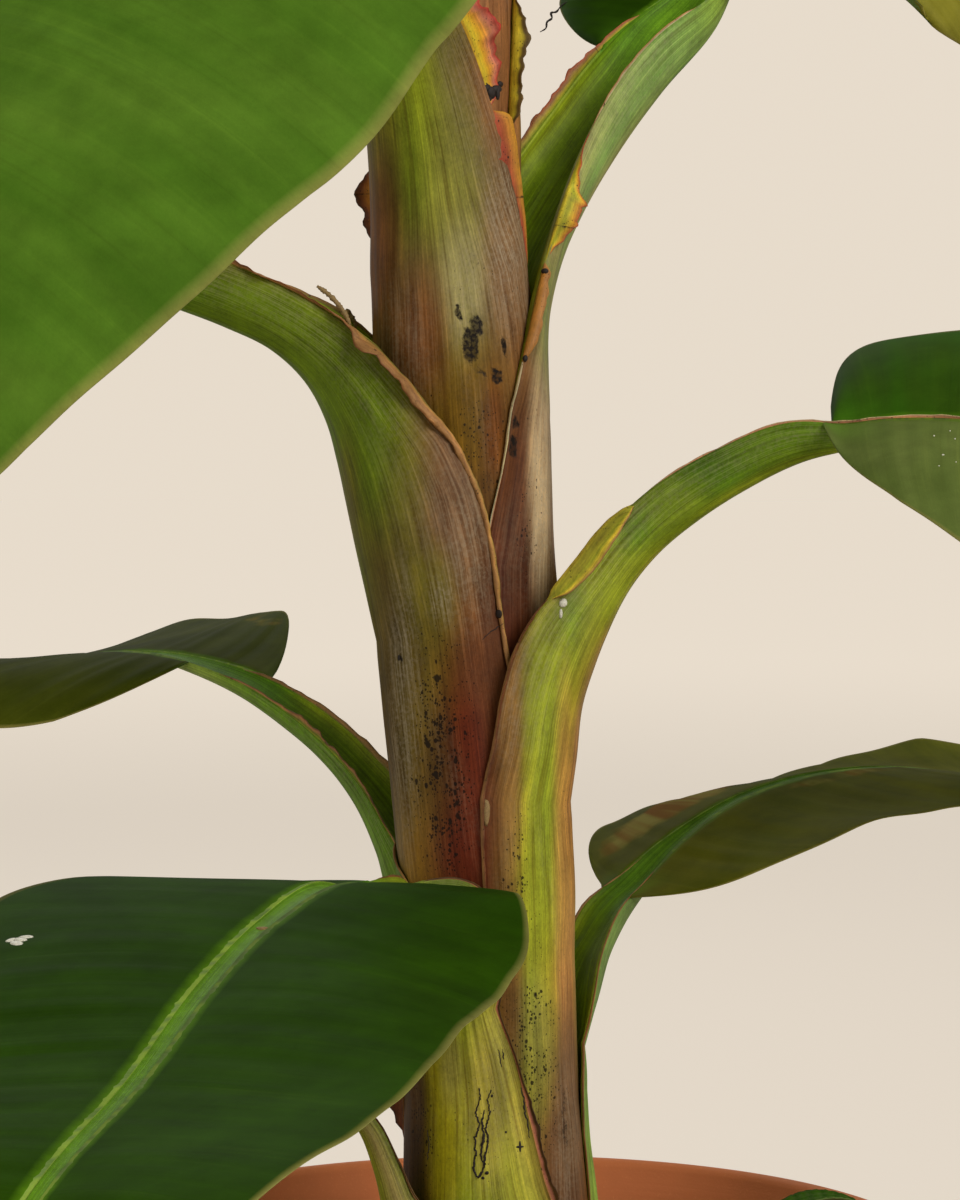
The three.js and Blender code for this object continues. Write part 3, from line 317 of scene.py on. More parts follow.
# Dry margins: (leaf, lip, rows, tones from its root to its edge, and for some the shares of the width between
# which it folds over). lip 1 is on the growing-azimuth side. Each row is (distance along the leaf, width, how
# far it curls outwards in degrees, how far it leans outwards).
DRY_MARGINS = [
    ("middle_left", 1, [(196, 0.5, 20, 0), (300, 0.7, 60, 0), (366, 2.2, 230, 0), (384, 3.8, 330, 5),
        (410, 4.2, 330, 10), (424, 4.0, 220, 40), (436, 5.6, 110, 70), (446, 8.4, 60, 90),
        (453, 9.0, 50, 95), (457, 4.0, 60, 60), (462, 3.0, 60, 40), (474, 2.4, 60, 30),
        (480, 3.0, 60, 60), (489, 2.2, 20, 10), (497, 3.0, 30, 30), (503, 4.0, 40, 40),
        (509, 1.2, 20, 10), (522, 2.6, 30, 20), (530, 2.2, 30, 0), (560, 0.8, 10, 0), (600, 0.5, 0, 0)],
        "moss leaf_lime olive peach dusk tan russet"),
    ("middle_left", -1, [(200, 0.5, 20, 0), (378, 1.5, 120, 10), (440, 3.0, 160, 20), (500, 1.0, 40, 0),
        (560, 0.6, 0, 0)], "moss tan brown"),
    ("middle_right", -1, [(200, 0.8, 40, 40), (240, 1.5, 60, 60), (330, 2.1, 80, 65), (380, 2.2, 60, 60),
        (388, 0.6, 60, 20)], "blush dusk dusk wine"),
    ("middle_right", -1, [(384, 1.4, 140, 0), (387, 6.4, 148, 0), (391, 8.2, 148, 0), (396, 9.4, 148, 0),
        (402, 9.8, 148, 0), (408, 8.6, 150, 0), (412, 5.0, 150, 0), (415, 1.0, 150, 0)],
        "moss dusk dusk lemon moss yellow pine lemon dusk", (0.16, 0.46)),
    ("middle_right", -1, [(412, 0.5, 20, 0), (430, 0.9, 40, 0), (470, 1.0, 40, 0), (510, 1.2, 30, 0),
        (520, 0.5, 0, 0)], "leaf_lime blush paper"),
    ("middle_right", 1, [(200, 0.5, 20, 0), (333, 1.4, 140, 0), (400, 2.4, 160, 20), (440, 1.2, 60, 0),
        (520, 0.6, 0, 0)], "leaf_lime dusk tan"),
    ("upper_right", -1, [(330, 0.8, 20, 0), (400, 1.2, 60, 0), (436, 1.8, 120, 0), (453, 2.0, 140, 0),
        (455, 0.6, 100, 0)], "blush paper cream"),
    ("upper_right", -1, [(452, 1.2, 200, 0), (454, 7.0, 320, 0), (466, 8.6, 330, 0), (476, 7.4, 320, 0),
        (479, 0.8, 200, 0)], "leaf_lime flame dusk flame tan"),
    ("upper_right", -1, [(478, 0.8, 20, 60), (482, 2.4, 20, 90), (488, 5.0, 15, 120), (494, 7.0, 10, 138),
        (498, 8.0, 10, 142), (501, 4.4, 10, 138), (505, 2.4, 15, 100), (511, 1.8, 20, 60),
        (519, 0.8, 20, 20)], "leaf_lime lemon acid lemon marigold red"),
    ("upper_right", -1, [(517, 0.5, 20, 0), (530, 1.3, 60, 0), (560, 1.2, 60, 0), (575, 0.6, 20, 0)],
        "leaf_lime cream tan"),
    ("upper_right", 1, [(330, 0.5, 20, 0), (440, 1.6, 90, 0), (500, 2.6, 140, 10), (540, 3.2, 60, -10),
        (556, 1.8, 40, 0), (575, 0.8, 20, 0)], "petiole yellow dusk red"),
    ("upper_front", 1, [(345, 0.5, 20, 0), (430, 0.8, 60, 0), (468, 1.4, 160, 0), (480, 0.5, 100, 0)],
        "red rust dusk"),
    ("upper_front", 1, [(478, 0.8, 190, 0), (484, 3.6, 190, 0), (490, 6.8, 190, 0), (500, 11.0, 190, 0),
        (510, 14.6, 190, 0), (517, 17.0, 190, 0), (519.6, 16.4, 190, 0), (520.4, 1.4, 60, 0)],
        "rust rust marigold marigold flame red red crimson", (0.32, 0.58)),
    ("upper_front", 1, [(521, 3.0, 10, 0), (526, 7.0, 15, 0), (534, 9.0, 20, 0), (545, 9.5, 20, 0),
        (560, 7.0, 20, 0), (575, 2.0, 20, 0)], "amber lemon marigold blush crimson"),
    ("upper_front", -1, [(345, 0.5, 20, 0), (440, 1.0, 60, 0), (512, 1.2, 20, 0), (575, 0.8, 20, 0)],
        "amber flame russet bark"),
    ("upper_front", -0.75, [(479, 0.6, 30, 40), (484, 4.0, 20, 50), (492, 6.6, 20, 62),
        (500, 7.6, 30, 66), (505, 6.0, 30, 60), (508, 0.8, 20, 40)],
        "marigold marigold flame russet bark"),
    ("top_back", -1, [(405, 0.5, 20, 0), (515, 1.0, 20, 20), (522, 3.8, 20, 50), (530, 5.0, 20, 60),
        (540, 5.4, 20, 60), (549, 4.8, 20, 50), (554, 2.0, 20, 20), (620, 1.2, 60, 0), (680, 0.6, 0, 0)],
        "yellow lemon lemon lemon bark umber"),
    ("top_back", 1, [(405, 0.5, 20, 0), (530, 1.6, 120, 0), (570, 3.4, 260, 0), (620, 1.2, 60, 0),
        (680, 0.6, 0, 0)], "leaf_lime dusk brown"),
    ("top_front", -1, [(455, 0.5, 20, 0), (560, 1.4, 100, 0), (600, 3.0, 200, 0), (660, 1.0, 40, 0),
        (700, 0.5, 0, 0)], "leaf_lime blush red"),
    ("top_front", 1, [(455, 0.5, 20, 0), (560, 1.4, 100, 0), (610, 2.6, 160, 0), (660, 1.0, 40, 0),
        (700, 0.5, 0, 0)], "leaf_lime blush red"),
    ("lower_left", 1, [(200, 0.5, 20, 0), (288, 1.2, 100, 0), (318, 1.4, 60, 0), (330, 3.4, 50, 20),
        (340, 2.2, 30, 0), (350, 4.2, 60, 20), (362, 2.6, 20, 0), (376, 1.2, 20, 0), (400, 0.8, 20, 0)],
        "lime moss tan brown"),
    ("lower_left", -1, [(200, 0.5, 20, 0), (288, 1.6, 100, 0), (320, 2.4, 100, 0), (400, 0.8, 0, 0)],
        "moss tan brown"),
    ("lower_front", 1, [(200, 2.2, 30, 30), (240, 2.4, 40, 30), (262, 1.6, 60, 20), (300, 1.2, 60, 0),
        (340, 0.6, 0, 0)], "peach blush umber bark"),
    ("lower_front", -1, [(200, 0.6, 40, 0), (240, 1.0, 20, 0), (300, 1.4, 40, 0), (340, 0.6, 0, 0)],
        "brown russet bark"),
    ("lower_front", -0.72, [(238, 0.6, 20, 40), (243, 4.5, 30, 45), (250, 7.5, 40, 50),
        (255, 6.0, 30, 45), (258, 0.8, 20, 40)], "brown russet bark"),
    ("lower_right", -1, [(200, 0.6, 40, 0), (262, 1.0, 80, 0), (300, 0.7, 20, 0), (320, 0.4, 0, 0)],
        "lime tan dusk"),
    ("lower_right", 1, [(200, 0.6, 40, 0), (262, 1.4, 100, 0), (300, 0.9, 20, 0), (320, 0.4, 0, 0)],
        "lime tan brown"),
    ("lowest_left", -1, [(188, 1.6, 60, 0), (210, 2.6, 140, 0), (240, 1.8, 120, 0), (270, 0.7, 20, 0)],
        "tan brown bark"),
    ("lowest_left", 1, [(188, 1.2, 60, 0), (206, 1.8, 60, 20), (226, 1.6, 140, 0), (245, 1.0, 90, 0),
        (270, 0.6, 20, 0)], "straw tan brown bark"),
]

MARGIN_STEP, WIDE_MARGIN, MARGIN_COLUMNS = 0.9, 2.0, 10
MARGIN_HALF, MARGIN_THINNING, MARGIN_INSET = 0.24, 0.13, 0.25
# A folded strip keeps only this share of the raggedness and waves of an open one.
FOLD_CALM = 0.12

# Spots on the blades, by leaf and side: (share of rib, share of half width, their spreads, what, strength).
BLADE_MARKS = {
    ("lower_right", 1): [
        (0.16, 0.55, 0.17, 0.55, "dry", 0.9)],
    ("lower_right", -1): [
        (0.32, 0.1, 0.2, 0.16, "dry", 0.55)],
    ("lower_left", -1): [
        (0.12, 0.8, 0.08, 0.35, "dry", 0.45), (0.3, 0.12, 0.14, 0.14, "dry", 0.3)],
    ("middle_right", 1): [
        (0.24, 0.42, 0.07, 0.22, "dry", 0.45)],
    ("upper_front", -1): [
        (0.62, 0.35, 0.1, 0.2, "blot", 0.5), (0.5, 0.2, 0.07, 0.14, "blot", 0.5)],
    ("lower_front", -1): [
        (0.55, 0.9, 0.05, 0.1, "dry", 0.5)],
}


def smooth(a, b, x):
    t = np.clip((np.asarray(x, float) - a) / (b - a), 0.0, 1.0)
    return t * t * (3.0 - 2.0 * t)


def column(rows, x, index=1):
    return np.interp(x, [row[0] for row in rows], [row[index] for row in rows])


def axis_x(z):
    low = np.clip(z, LEAN_FOOT, LEAN_END) - LEAN_START
    high = np.clip(z, LEAN_END, STEM_TOP) - LEAN_END
    return AXIS_AT_START - LEAN_LOW * low - LEAN_HIGH * high


def sheath_profile(phi, growing, falling):
    """Share of a sheath's thickness at an angle from its middle."""
    half = np.where(phi >= 0, growing, falling)
    away = np.abs(phi)
    inside = MARGIN_SHARE + (1 - MARGIN_SHARE) * (1 - smooth(MARGIN_START, 1, away / half))
    outside = MARGIN_SHARE * np.maximum(0, 1 - (away - half) / MARGIN_FADE)
    return np.where(away <= half, inside, outside)


def layer_radius(last, z, azimuth, own=None):
    """Outer radius of the stem with the leaves up to and including last on it; own is never cut short."""
    share = column(SHEATH_SHARE, z)
    radius = column(CORE_RADII, z)
    for j in range(last + 1):
        leaf = LEAVES[j]
        top = leaf["sheath"][-1][0]
        keep = 1.0 if j == own else 1 - smooth(top - SHOULDER_BELOW, top + SHOULDER_ABOVE, z)
        phi = (azimuth - leaf["az"] + 540) % 360 - 180
        here = sheath_profile(phi, column(leaf["sheath"], z, 1), column(leaf["sheath"], z, 2))
        radius = radius + leaf["t"] * share * keep * here
    return radius


def knots_of(rows):
    steps = np.hypot(*np.diff(np.asarray(rows, float)[:, :2], axis=0).T)
    return np.concatenate([[0.0], np.cumsum(steps)])


def through(knots, rows, t):
    """Smooth curve through rows of numbers at their knots, read at t."""
    rows = np.asarray(rows, float)
    step = np.diff(knots)[:, None]
    chord = np.diff(rows, axis=0) / step
    inner = (step[:-1] * chord[1:] + step[1:] * chord[:-1]) / (step[:-1] + step[1:])
    slope = np.vstack([chord[:1], inner, chord[-1:]])
    k = np.clip(np.searchsorted(knots, t, side="right") - 1, 0, len(knots) - 2)
    h = step[k]
    u = ((t - knots[k])[:, None]) / h
    rising = u * u * (3 - 2 * u)
    bend = u * (1 - u) ** 2 * h * slope[k] + u * u * (u - 1) * h * slope[k + 1]
    return rows[k] + rising * (rows[k + 1] - rows[k]) + bend


def unit(v):
    return v / np.maximum(np.linalg.norm(v, axis=-1, keepdims=True), 1e-12)


def rib_radius(end_radius, share):
    """Section radius of the midrib, from the petiole's own at its start to a hair at the tip."""
    thinned = 1 - RIB_THINNING * smooth(0, RIB_SETTLE, share)
    return end_radius * thinned * (1 - RIB_TAPER * np.clip(share, 0, 1)) + RIB_LEAST


def leaf_spine(leaf):
    """Knots and rows (distance, height, sideways, radius, half-angles, blade share) of a leaf's back."""
    limb = np.array(leaf["limb"], float)
    rib = np.array(leaf["rib"], float)
    rib_knots = knots_of(rib)
    fine_t = np.linspace(0, rib_knots[-1], 200)
    fine = through(rib_knots, rib, fine_t)
    end = limb[-1]
    ahead = unit((limb[-1] - limb[-2])[:2])
    lift = end[2] * (1 - math.cos(math.radians((end[3] + end[4]) / 2)))
    lip = end[:2] + lift * np.array([-ahead[1], ahead[0]])
    at_end = fine_t[np.argmin(np.hypot(fine[:, 0] - lip[0], fine[:, 1] - lip[1]))]
    limb_knots = knots_of(limb)
    begin, end_of, drift = leaf.get("drift", (0, 1, 0))
    rows = [[*row[:2], drift * max((row[0] - begin) / (end_of - begin), 0) ** 2 if drift else 0.0, *row[2:],
             (at_end - limb_knots[-1] + t) / rib_knots[-1]] for row, t in zip(limb, limb_knots)]
    knots = list(limb_knots)
    slope = np.gradient(fine[:, :2], fine_t, axis=0)
    for row, t in zip(rib, rib_knots):
        if t < at_end + RIB_LEAD:
            continue
        share = t / rib_knots[-1]
        along = unit(np.array([np.interp(t, fine_t, slope[:, c]) for c in (0, 1)]))
        radius = float(rib_radius(end[2], share))
        settle = smooth(0, 0.1, share)
        halves = [a + (RIB_OPEN - a) * settle for a in end[3:5]]
        drop = radius * (1 - math.cos(math.radians(sum(halves) / 2)))
        back = row[:2] - drop * np.array([-along[1], along[0]])
        rows.append([*back, row[2], radius, *halves, share])
        knots.append(limb_knots[-1] + t - at_end)
    return np.array(knots), np.array(rows), limb_knots[-1]


def row_steps(start, stop, step):
    return np.linspace(start, stop, max(int(round((stop - start) / step)), 2))


def leaf_rows(order):
    """Section frames of a leaf from its sheath's foot to its tip, as a dict of arrays with one row each."""
    leaf = LEAVES[order]
    azimuth = math.radians(leaf["az"])
    out = np.array([math.cos(azimuth), math.sin(azimuth), 0.0])
    side = np.array([-out[1], out[0], 0.0])
    up = np.array([0.0, 0.0, 1.0])
    top = leaf["sheath"][-1][0]
    knots, spine, limb_end = leaf_spine(leaf)
    blade_start = float(np.interp(0.0, spine[:, 6], knots))
    t = np.concatenate([row_steps(0, blade_start - BEFORE_BLADE, STALK_STEP)[:-1],
                        row_steps(blade_start - BEFORE_BLADE, limb_end + AFTER_LIMB, BEND_STEP)[:-1],
                        row_steps(limb_end + AFTER_LIMB, knots[-1], BLADE_STEP)])
    path = through(knots, spine, t)
    offset = np.array([axis_x(top), 0.0, 0.0])
    back = offset + path[:, :1] * out + path[:, 1:2] * up + path[:, 2:3] * side
    along = unit(np.gradient(back, t, axis=0))
    z = row_steps(leaf["foot"], top, SHEATH_STEP)[:-1]
    settle = smooth(top - TURN_BELOW, top, z)[:, None]
    own = layer_radius(order, np.minimum(z, top - LEVEL_BELOW), leaf["az"] * np.ones_like(z), order)
    first = layer_radius(order, top - LEVEL_BELOW, float(leaf["az"]), order)
    shift = (path[0, 0] - first) * smooth(top - SHIFT_BELOW, top, z)
    centre = np.stack([axis_x(z), 0 * z, z], 1)
    low_back = centre + (own + shift)[:, None] * out
    low_along = unit((1 - settle) * np.array([-LEAN_LOW, 0, 1.0]) + settle * along[0])
    back = np.vstack([low_back, back])
    along = np.vstack([low_along, along])
    across = unit(side - along * (along @ side)[:, None])
    normal = np.cross(along, across)
    zeros = np.zeros_like(z)
    return {
        "back": back, "along": along, "across": across, "normal": normal,
        "radius": np.concatenate([zeros, path[:, 3]]),
        "growing": np.concatenate([column(leaf["sheath"], z, 1), path[:, 4]]),
        "falling": np.concatenate([column(leaf["sheath"], z, 2), path[:, 5]]),
        "share": np.concatenate([zeros - 1, path[:, 6]]),
        "place": np.concatenate([z, top + t]),
        "level": np.concatenate([np.minimum(z, top - LEVEL_BELOW), np.full(len(t), top - LEVEL_BELOW)]),
        "wrap": np.concatenate([zeros + 1, 1 - smooth(0, WRAP_LENGTH, t)]),
        "blade_row": len(z) + int(np.searchsorted(t, blade_start)),
        "out": out, "side": side,
    }


def ripple(seed, x, waves):
    """Sum of sines of x: waves are (cycles per unit, height), each with its own seeded phase."""
    rng = np.random.default_rng(seed)
    return sum(height * np.sin(2 * math.pi * (cycles * x + rng.random())) for cycles, height in waves)


def hug_stem(points, order, clearance):
    """Moves the points that lie inside the younger sheaths out to just over them."""
    if order == 0:
        return points
    moved = points.copy()
    z = moved[..., 2]
    dx = moved[..., 0] - axis_x(z)
    dy = moved[..., 1]
    near = np.hypot(dx, dy)
    least = layer_radius(order - 1, z, np.degrees(np.arctan2(dy, dx))) + clearance
    scale = np.where((near < least) & (z < STEM_TOP - 8), least / np.maximum(near, 1e-6), 1.0)
    moved[..., 0] = axis_x(z) + dx * scale
    moved[..., 1] = dy * scale
    return moved


def gutter_grids(order, rows):
    """Outer and inner grids of a leaf's sheath, petiole and midrib."""
    leaf = LEAVES[order]
    u = np.linspace(-1, 1, GUTTER_COLUMNS)[None, :]
    half = np.where(u >= 0, rows["growing"][:, None], rows["falling"][:, None])
    phi = u * half
    wrap = rows["wrap"][:, None]
    level = rows["level"][:, None]
    stem = layer_radius(order, level * np.ones_like(phi), leaf["az"] + phi, order)
    radius = wrap * stem + (1 - wrap) * rows["radius"][:, None]
    middle = GUTTER_COLUMNS // 2
    wall = wrap * leaf["t"] + (1 - wrap) * np.maximum(WALL_SHARE * rows["radius"][:, None], WALL_LEAST)
    share = np.clip(rows["share"], 0, 1)[:, None]
    thick = np.minimum(wall * (1 - LIP_THINNING * smooth(LIP_START, 1, np.abs(u))), radius * 0.8)
    ridge = ripple(leaf["az"], u, RIDGES)
    drift = ripple(leaf["az"] + 1, rows["place"][:, None], DRIFT_ALONG)
    fade = 1 - smooth(0.85, 1, np.abs(u))
    drift = drift * wrap * ripple(leaf["az"] + 2, u, DRIFT_ACROSS)
    relief = (ridge * (0.35 + 0.65 * wrap) + drift) * fade
    relief = relief * (1 - smooth(0, 0.05, share))
    angle = np.radians(phi)[..., None]
    toward = -np.cos(angle) * rows["normal"][:, None] + np.sin(angle) * rows["across"][:, None]
    centre = rows["back"][:, None] + rows["normal"][:, None] * radius[:, middle, None, None]
    outer = centre + toward * (radius + relief)[..., None]
    inner = centre + toward * (radius - thick)[..., None]
    mean_half = np.radians((rows["growing"] + rows["falling"]) / 2)
    flat = rows["radius"][:, None] * (1 - np.cos(mean_half))[:, None]
    depth = rows["radius"][:, None] * (0.55 - 0.3 * smooth(0.02, 0.2, share))
    lateral = np.sin(angle[..., 0]) * rows["radius"][:, None] * 0.97
    groove = flat - depth * np.cos(0.5 * math.pi * u) ** 1.3 - 0.25
    shallow = rows["back"][:, None] + lateral[..., None] * rows["across"][:, None] \
        + groove[..., None] * rows["normal"][:, None]
    to_rib = smooth(-0.015, 0.07, rows["share"])[:, None, None]
    inner = inner * (1 - to_rib) + shallow * to_rib
    outer = hug_stem(outer, order, STEM_CLEARANCE + OUTER_CLEARANCE)
    inner = hug_stem(inner, order, STEM_CLEARANCE)
    return outer, inner, u


def outline(share, round_base, tip_power):
    """Share of a blade's half width along its rib: a round base and a blunt point."""
    base = np.sqrt(1 - (1 - np.clip(share / round_base, 0, 1)) ** 2)
    tip = np.cos(0.5 * math.pi * np.clip((share - TIP_START) / (1 - TIP_START), 0, 1) ** tip_power)
    return base * tip


def blade_grids(order, rows, outer, inner, which):
    """Upper and lower grids of one half of a blade; which is 0 on the growing-azimuth side."""
    leaf = LEAVES[order]
    first = rows["blade_row"]
    sign, lip = (1, -1) if which == 0 else (-1, 0)
    q = (np.linspace(0, 1, BLADE_COLUMNS + 1) ** 0.9)[None, :]
    share = np.clip(rows["share"][first:], 0, 1)
    begin = leaf["start"][which]
    round_base = leaf.get("round", (ROUND_BASE, ROUND_BASE))[which]
    tip_power = leaf.get("tip", (TIP_POWER, TIP_POWER))[which]
    half_width = leaf["w"][which] * outline(np.clip(share - begin, 0, 1) / (1 - begin), round_base, tip_power)
    reach = np.radians(rows["growing" if which == 0 else "falling"][first:])
    keel = rows["radius"][first:] * np.sin(np.minimum(reach, math.pi / 2))
    width = np.maximum(half_width - keel, 0)[:, None]
    tilt = column(leaf.get("tilt", [(0, 0, 0), (1, 0, 0)]), share, which + 1)[:, None]
    slope_in, slope_out = leaf["beta"][2 * which:2 * which + 2]
    middles = (q[:, 1:] + q[:, :-1]) / 2
    slope = np.radians(slope_in + (slope_out - slope_in) * middles + tilt * (0.4 + 0.6 * middles))
    run = np.diff(q)
    sideways = np.hstack([0 * width, np.cumsum(np.cos(slope) * run, 1)])
    upwards = np.hstack([0 * width, np.cumsum(np.sin(slope) * run, 1)])
    place = rows["place"][first:, None]
    base_sweep = leaf.get("sweep", (SWEEP, SWEEP))[which]
    swept = base_sweep + (SWEEP - base_sweep) * smooth(0, SWEEP_ZERO, share[:, None])
    forwards = (swept + SWEEP_GROWTH * (share[:, None] - SWEEP_ZERO)) * q ** SWEEP_POWER
    seed = leaf["az"] * 10 + which
    grown = smooth(0, 30, width)
    wave = leaf["wave"] * ripple(seed, place, BLADE_WAVES) * q ** 1.6
    veins = ripple(seed + 5, place, VEINS) * np.sin(math.pi * q ** 0.7) ** 0.6
    bulge = 1.2 * np.sin(math.pi * np.clip(q, 0, 1)) * ripple(seed + 9, place, BULGES)
    lift = width * upwards + (wave + veins + bulge) * grown
    root = (outer[first:, lip] + inner[first:, lip])[:, None] / 2
    across = sign * rows["across"][first:, None]
    middle = root + across * (width * sideways)[..., None] + rows["normal"][first:, None] * lift[..., None] \
        + rows["along"][first:, None] * (width * forwards)[..., None]
    lip_wall = np.linalg.norm(outer[first:, lip] - inner[first:, lip], axis=1)[:, None]
    extra = np.maximum(lip_wall, BLADE_THICKNESS) - BLADE_THICKNESS
    thick = BLADE_THICKNESS + extra * (1 - smooth(0, 0.12, q))
    slope = np.radians(slope_in + (slope_out - slope_in) * q + tilt * (0.4 + 0.6 * q))[..., None]
    square = rows["normal"][first:, None] * np.cos(slope) - across * np.sin(slope)
    half = square * (thick / 2 * smooth(0, 2, width) * (1 - 0.5 * smooth(0.9, 1, q)))[..., None]
    upper, lower = middle + half, middle - half
    upper[:, 0], lower[:, 0] = inner[first:, lip], outer[first:, lip]
    return upper, lower, q * np.ones_like(width), width * q, place * np.ones_like(q)


NO_MARKS = np.zeros(4)


class Sheets:
    """Collects grids of points into one mesh: corners, faces, fibre coordinates, colours and marks."""

    def __init__(self):
        self.points = []
        self.tints = []
        self.marks = []
        self.faces = []
        self.corners = []
        self.kinds = []
        self.count = 0

    def grid(self, points, tint, marks=NO_MARKS):
        """Adds a grid of points and returns the numbers that they got."""
        rows, cols = points.shape[:2]
        self.points.append(points.reshape(-1, 3))
        self.tints.append(np.broadcast_to(tint, (rows, cols, 3)).reshape(-1, 3))
        self.marks.append(np.broadcast_to(marks, (rows, cols, 4)).reshape(-1, 4))
        numbers = np.arange(self.count, self.count + rows * cols).reshape(rows, cols)
        self.count += rows * cols
        return numbers

    def skin(self, numbers, fibre, kind, flip=False):
        """Faces between neighbours in a grid of numbers; fibre is (across, along) in millimetres."""
        corner = [(slice(0, -1), slice(0, -1)), (slice(1, None), slice(0, -1)),
                  (slice(1, None), slice(1, None)), (slice(0, -1), slice(1, None))]
        if flip:
            corner = corner[::-1]
        quads = np.stack([numbers[c] for c in corner], -1).reshape(-1, 4)
        spots = np.stack([fibre[c] for c in corner], -2).reshape(-1, 4, 2)
        self.faces.append(quads)
        self.corners.append(spots * MM)
        self.kinds.append(np.full(len(quads), kind))

    def cap(self, ring, centre, tint, fibre, flip):
        """Faces from a ring of numbers to its centre."""
        hub = self.grid(np.array([[centre] * len(ring)]), tint)
        self.skin(np.vstack([ring, hub[0]]), fibre[:2], 0, flip=flip)

    def strip(self, one, two, axis, fibre, kind, flip=False):
        """Faces between two lines of numbers, laid as rows where axis is 0 and as columns where it is 1."""
        self.skin(np.stack([one, two], axis), fibre, kind, flip=flip)

    def edges(self, one, two, fibre, kind):
        """Faces that join two grids along their four edges."""
        for end, flip in ((0, False), (-1, True)):
            self.strip(one[:, end], two[:, end], 1, fibre[:, :2], kind, flip)
        for end, flip in ((0, True), (-1, False)):
            self.strip(one[end], two[end], 0, fibre[:2], kind, flip)

    def mesh(self, name, materials):
        mesh = bpy.data.meshes.new(name)
        faces = np.concatenate(self.faces)
        mesh.from_pydata(np.concatenate(self.points) * MM, [], faces.tolist())
        for material in materials:
            mesh.materials.append(material)
        mesh.polygons.foreach_set("material_index", np.concatenate(self.kinds).astype(np.int32))
        mesh.polygons.foreach_set("use_smooth", np.ones(len(faces), bool))
        layer = mesh.uv_layers.new(name="fibre")
        layer.data.foreach_set("uv", np.concatenate(self.corners).astype(np.float32).ravel())
        tint = mesh.attributes.new("tint", "FLOAT_COLOR", "POINT")
        colours = np.concatenate(self.tints)
        opaque = np.hstack([colours, np.ones((len(colours), 1))])
        tint.data.foreach_set("color", opaque.astype(np.float32).ravel())
        marks = mesh.attributes.new("marks", "FLOAT_COLOR", "POINT")
        marks.data.foreach_set("color", np.concatenate(self.marks).astype(np.float32).ravel())
        work = bmesh.new()
        work.from_mesh(mesh)
        bmesh.ops.remove_doubles(work, verts=work.verts, dist=2e-6)
        bmesh.ops.recalc_face_normals(work, faces=work.faces)
        work.to_mesh(mesh)
        work.free()
        return mesh


def finished_mesh(work, name):
    """Mesh of a bmesh, which is freed."""
    mesh = bpy.data.meshes.new(name)
    work.to_mesh(mesh)
    work.free()
    return mesh


def placed_object(name, data):
    """Object at the origin of the scene."""
    thing = bpy.data.objects.new(name, data)
    bpy.context.scene.collection.objects.link(thing)
    return thing


def linear(colour):
    c = np.asarray(colour, float) / 255
    return np.where(c <= 0.04045, c / 12.92, ((c + 0.055) / 1.055) ** 2.4)


def tone(name):
    """Linear colour of a tone, with part of its grey taken out."""
    colour = linear(TONES[name])
    return colour - DEEPENING * colour.min()


def tone_row(words, u):
    names = words.split()
    stops = np.linspace(-1, 1, len(names))
    colours = np.array([tone(n) for n in names])
    return np.stack([np.interp(u, stops, colours[:, c]) for c in range(3)], -1)


def tone_table(table, u, place):
    """Colour at u across and place along, between the rows of a leaf's tone table."""
    knots = [row[0] for row in table]
    colours = [tone_row(row[1], u) for row in table]
    out = np.zeros(np.broadcast(u, place).shape + (3,))
    for i, colour in enumerate(colours):
        hat = np.zeros(len(knots))
        hat[i] = 1
        out = out + colour * np.interp(place, knots, hat)[..., None]
    return out


def mix(a, b, share):
    return a + (b - a) * np.clip(share, 0, 1)[..., None]


MARK_CHANNEL = {"blot": 0, "speckle": 1, "bloom": 2, "dry": 3}


def front_marks(leaf, points):
    marks = np.zeros(points.shape[:-1] + (4,))
    facing = smooth(2, -6, points[..., 1])
    for what, x, z, wide, tall, strength in FRONT_MARKS.get(leaf["name"], ()):
        away = np.hypot((points[..., 0] - x) / wide, (points[..., 2] - z) / tall)
        channel = MARK_CHANNEL[what]
        field = strength * (1 - smooth(0.2, 1.25, away)) * facing
        marks[..., channel] = np.maximum(marks[..., channel], field)
    return marks


def front_patches(leaf, points, colour):
    """Colour with the leaf's own soft patches laid over it where it faces the front."""
    facing = smooth(4, -4, points[..., 1])
    for word, x, z, wide, tall, strength in FRONT_PATCHES.get(leaf["name"], ()):
        away = np.hypot((points[..., 0] - x) / wide, (points[..., 2] - z) / tall)
        colour = mix(colour, tone(word), strength * (1 - smooth(0.25, 1.3, away)) * facing)
    return colour


def back_marks(leaf, u, place, wrap):
    """Speckles and bloom that scatter over the whole of a sheath."""
    seed = leaf["az"] + 40
    cloud = ripple(seed, place * 0.011 + 0.4 * ripple(seed + 1, u, [(0.8, 1.0)]), [(1.0, 0.5), (1.9, 0.4)])
    marks = np.zeros(np.broadcast(u, place).shape + (4,))
    marks[..., 1] = np.clip(0.32 + 0.4 * cloud, 0, 1) * wrap
    marks[..., 2] = np.clip(0.12 - 0.35 * cloud, 0, 1) * wrap
    return marks


def paint_gutter(leaf, rows, u, outer):
    place = rows["place"][:, None]
    wrap = rows["wrap"][:, None]
    share = rows["share"][:, None]
    colour = tone_table(leaf["tones"], u, place)
    rib = mix(np.broadcast_to(tone("pale"), colour.shape), tone("lime"), 0.4 + 0 * u * place)
    colour = mix(colour, rib, smooth(0.0, 0.1, share) + 0 * u)
    colour = front_patches(leaf, outer, colour)
    back = smooth(4, 14, outer[..., 1])
    marks = np.maximum(front_marks(leaf, outer),
                       back_marks(leaf, u, place, wrap) * (0.4 + 0.6 * back)[..., None])
    petiole_bloom = (1 - wrap) * 0.35 * smooth(0.25, 0.7, np.abs(u)) * (1 - smooth(0, 0.06, share))
    marks[..., 2] = np.maximum(marks[..., 2], petiole_bloom)
    return colour, marks


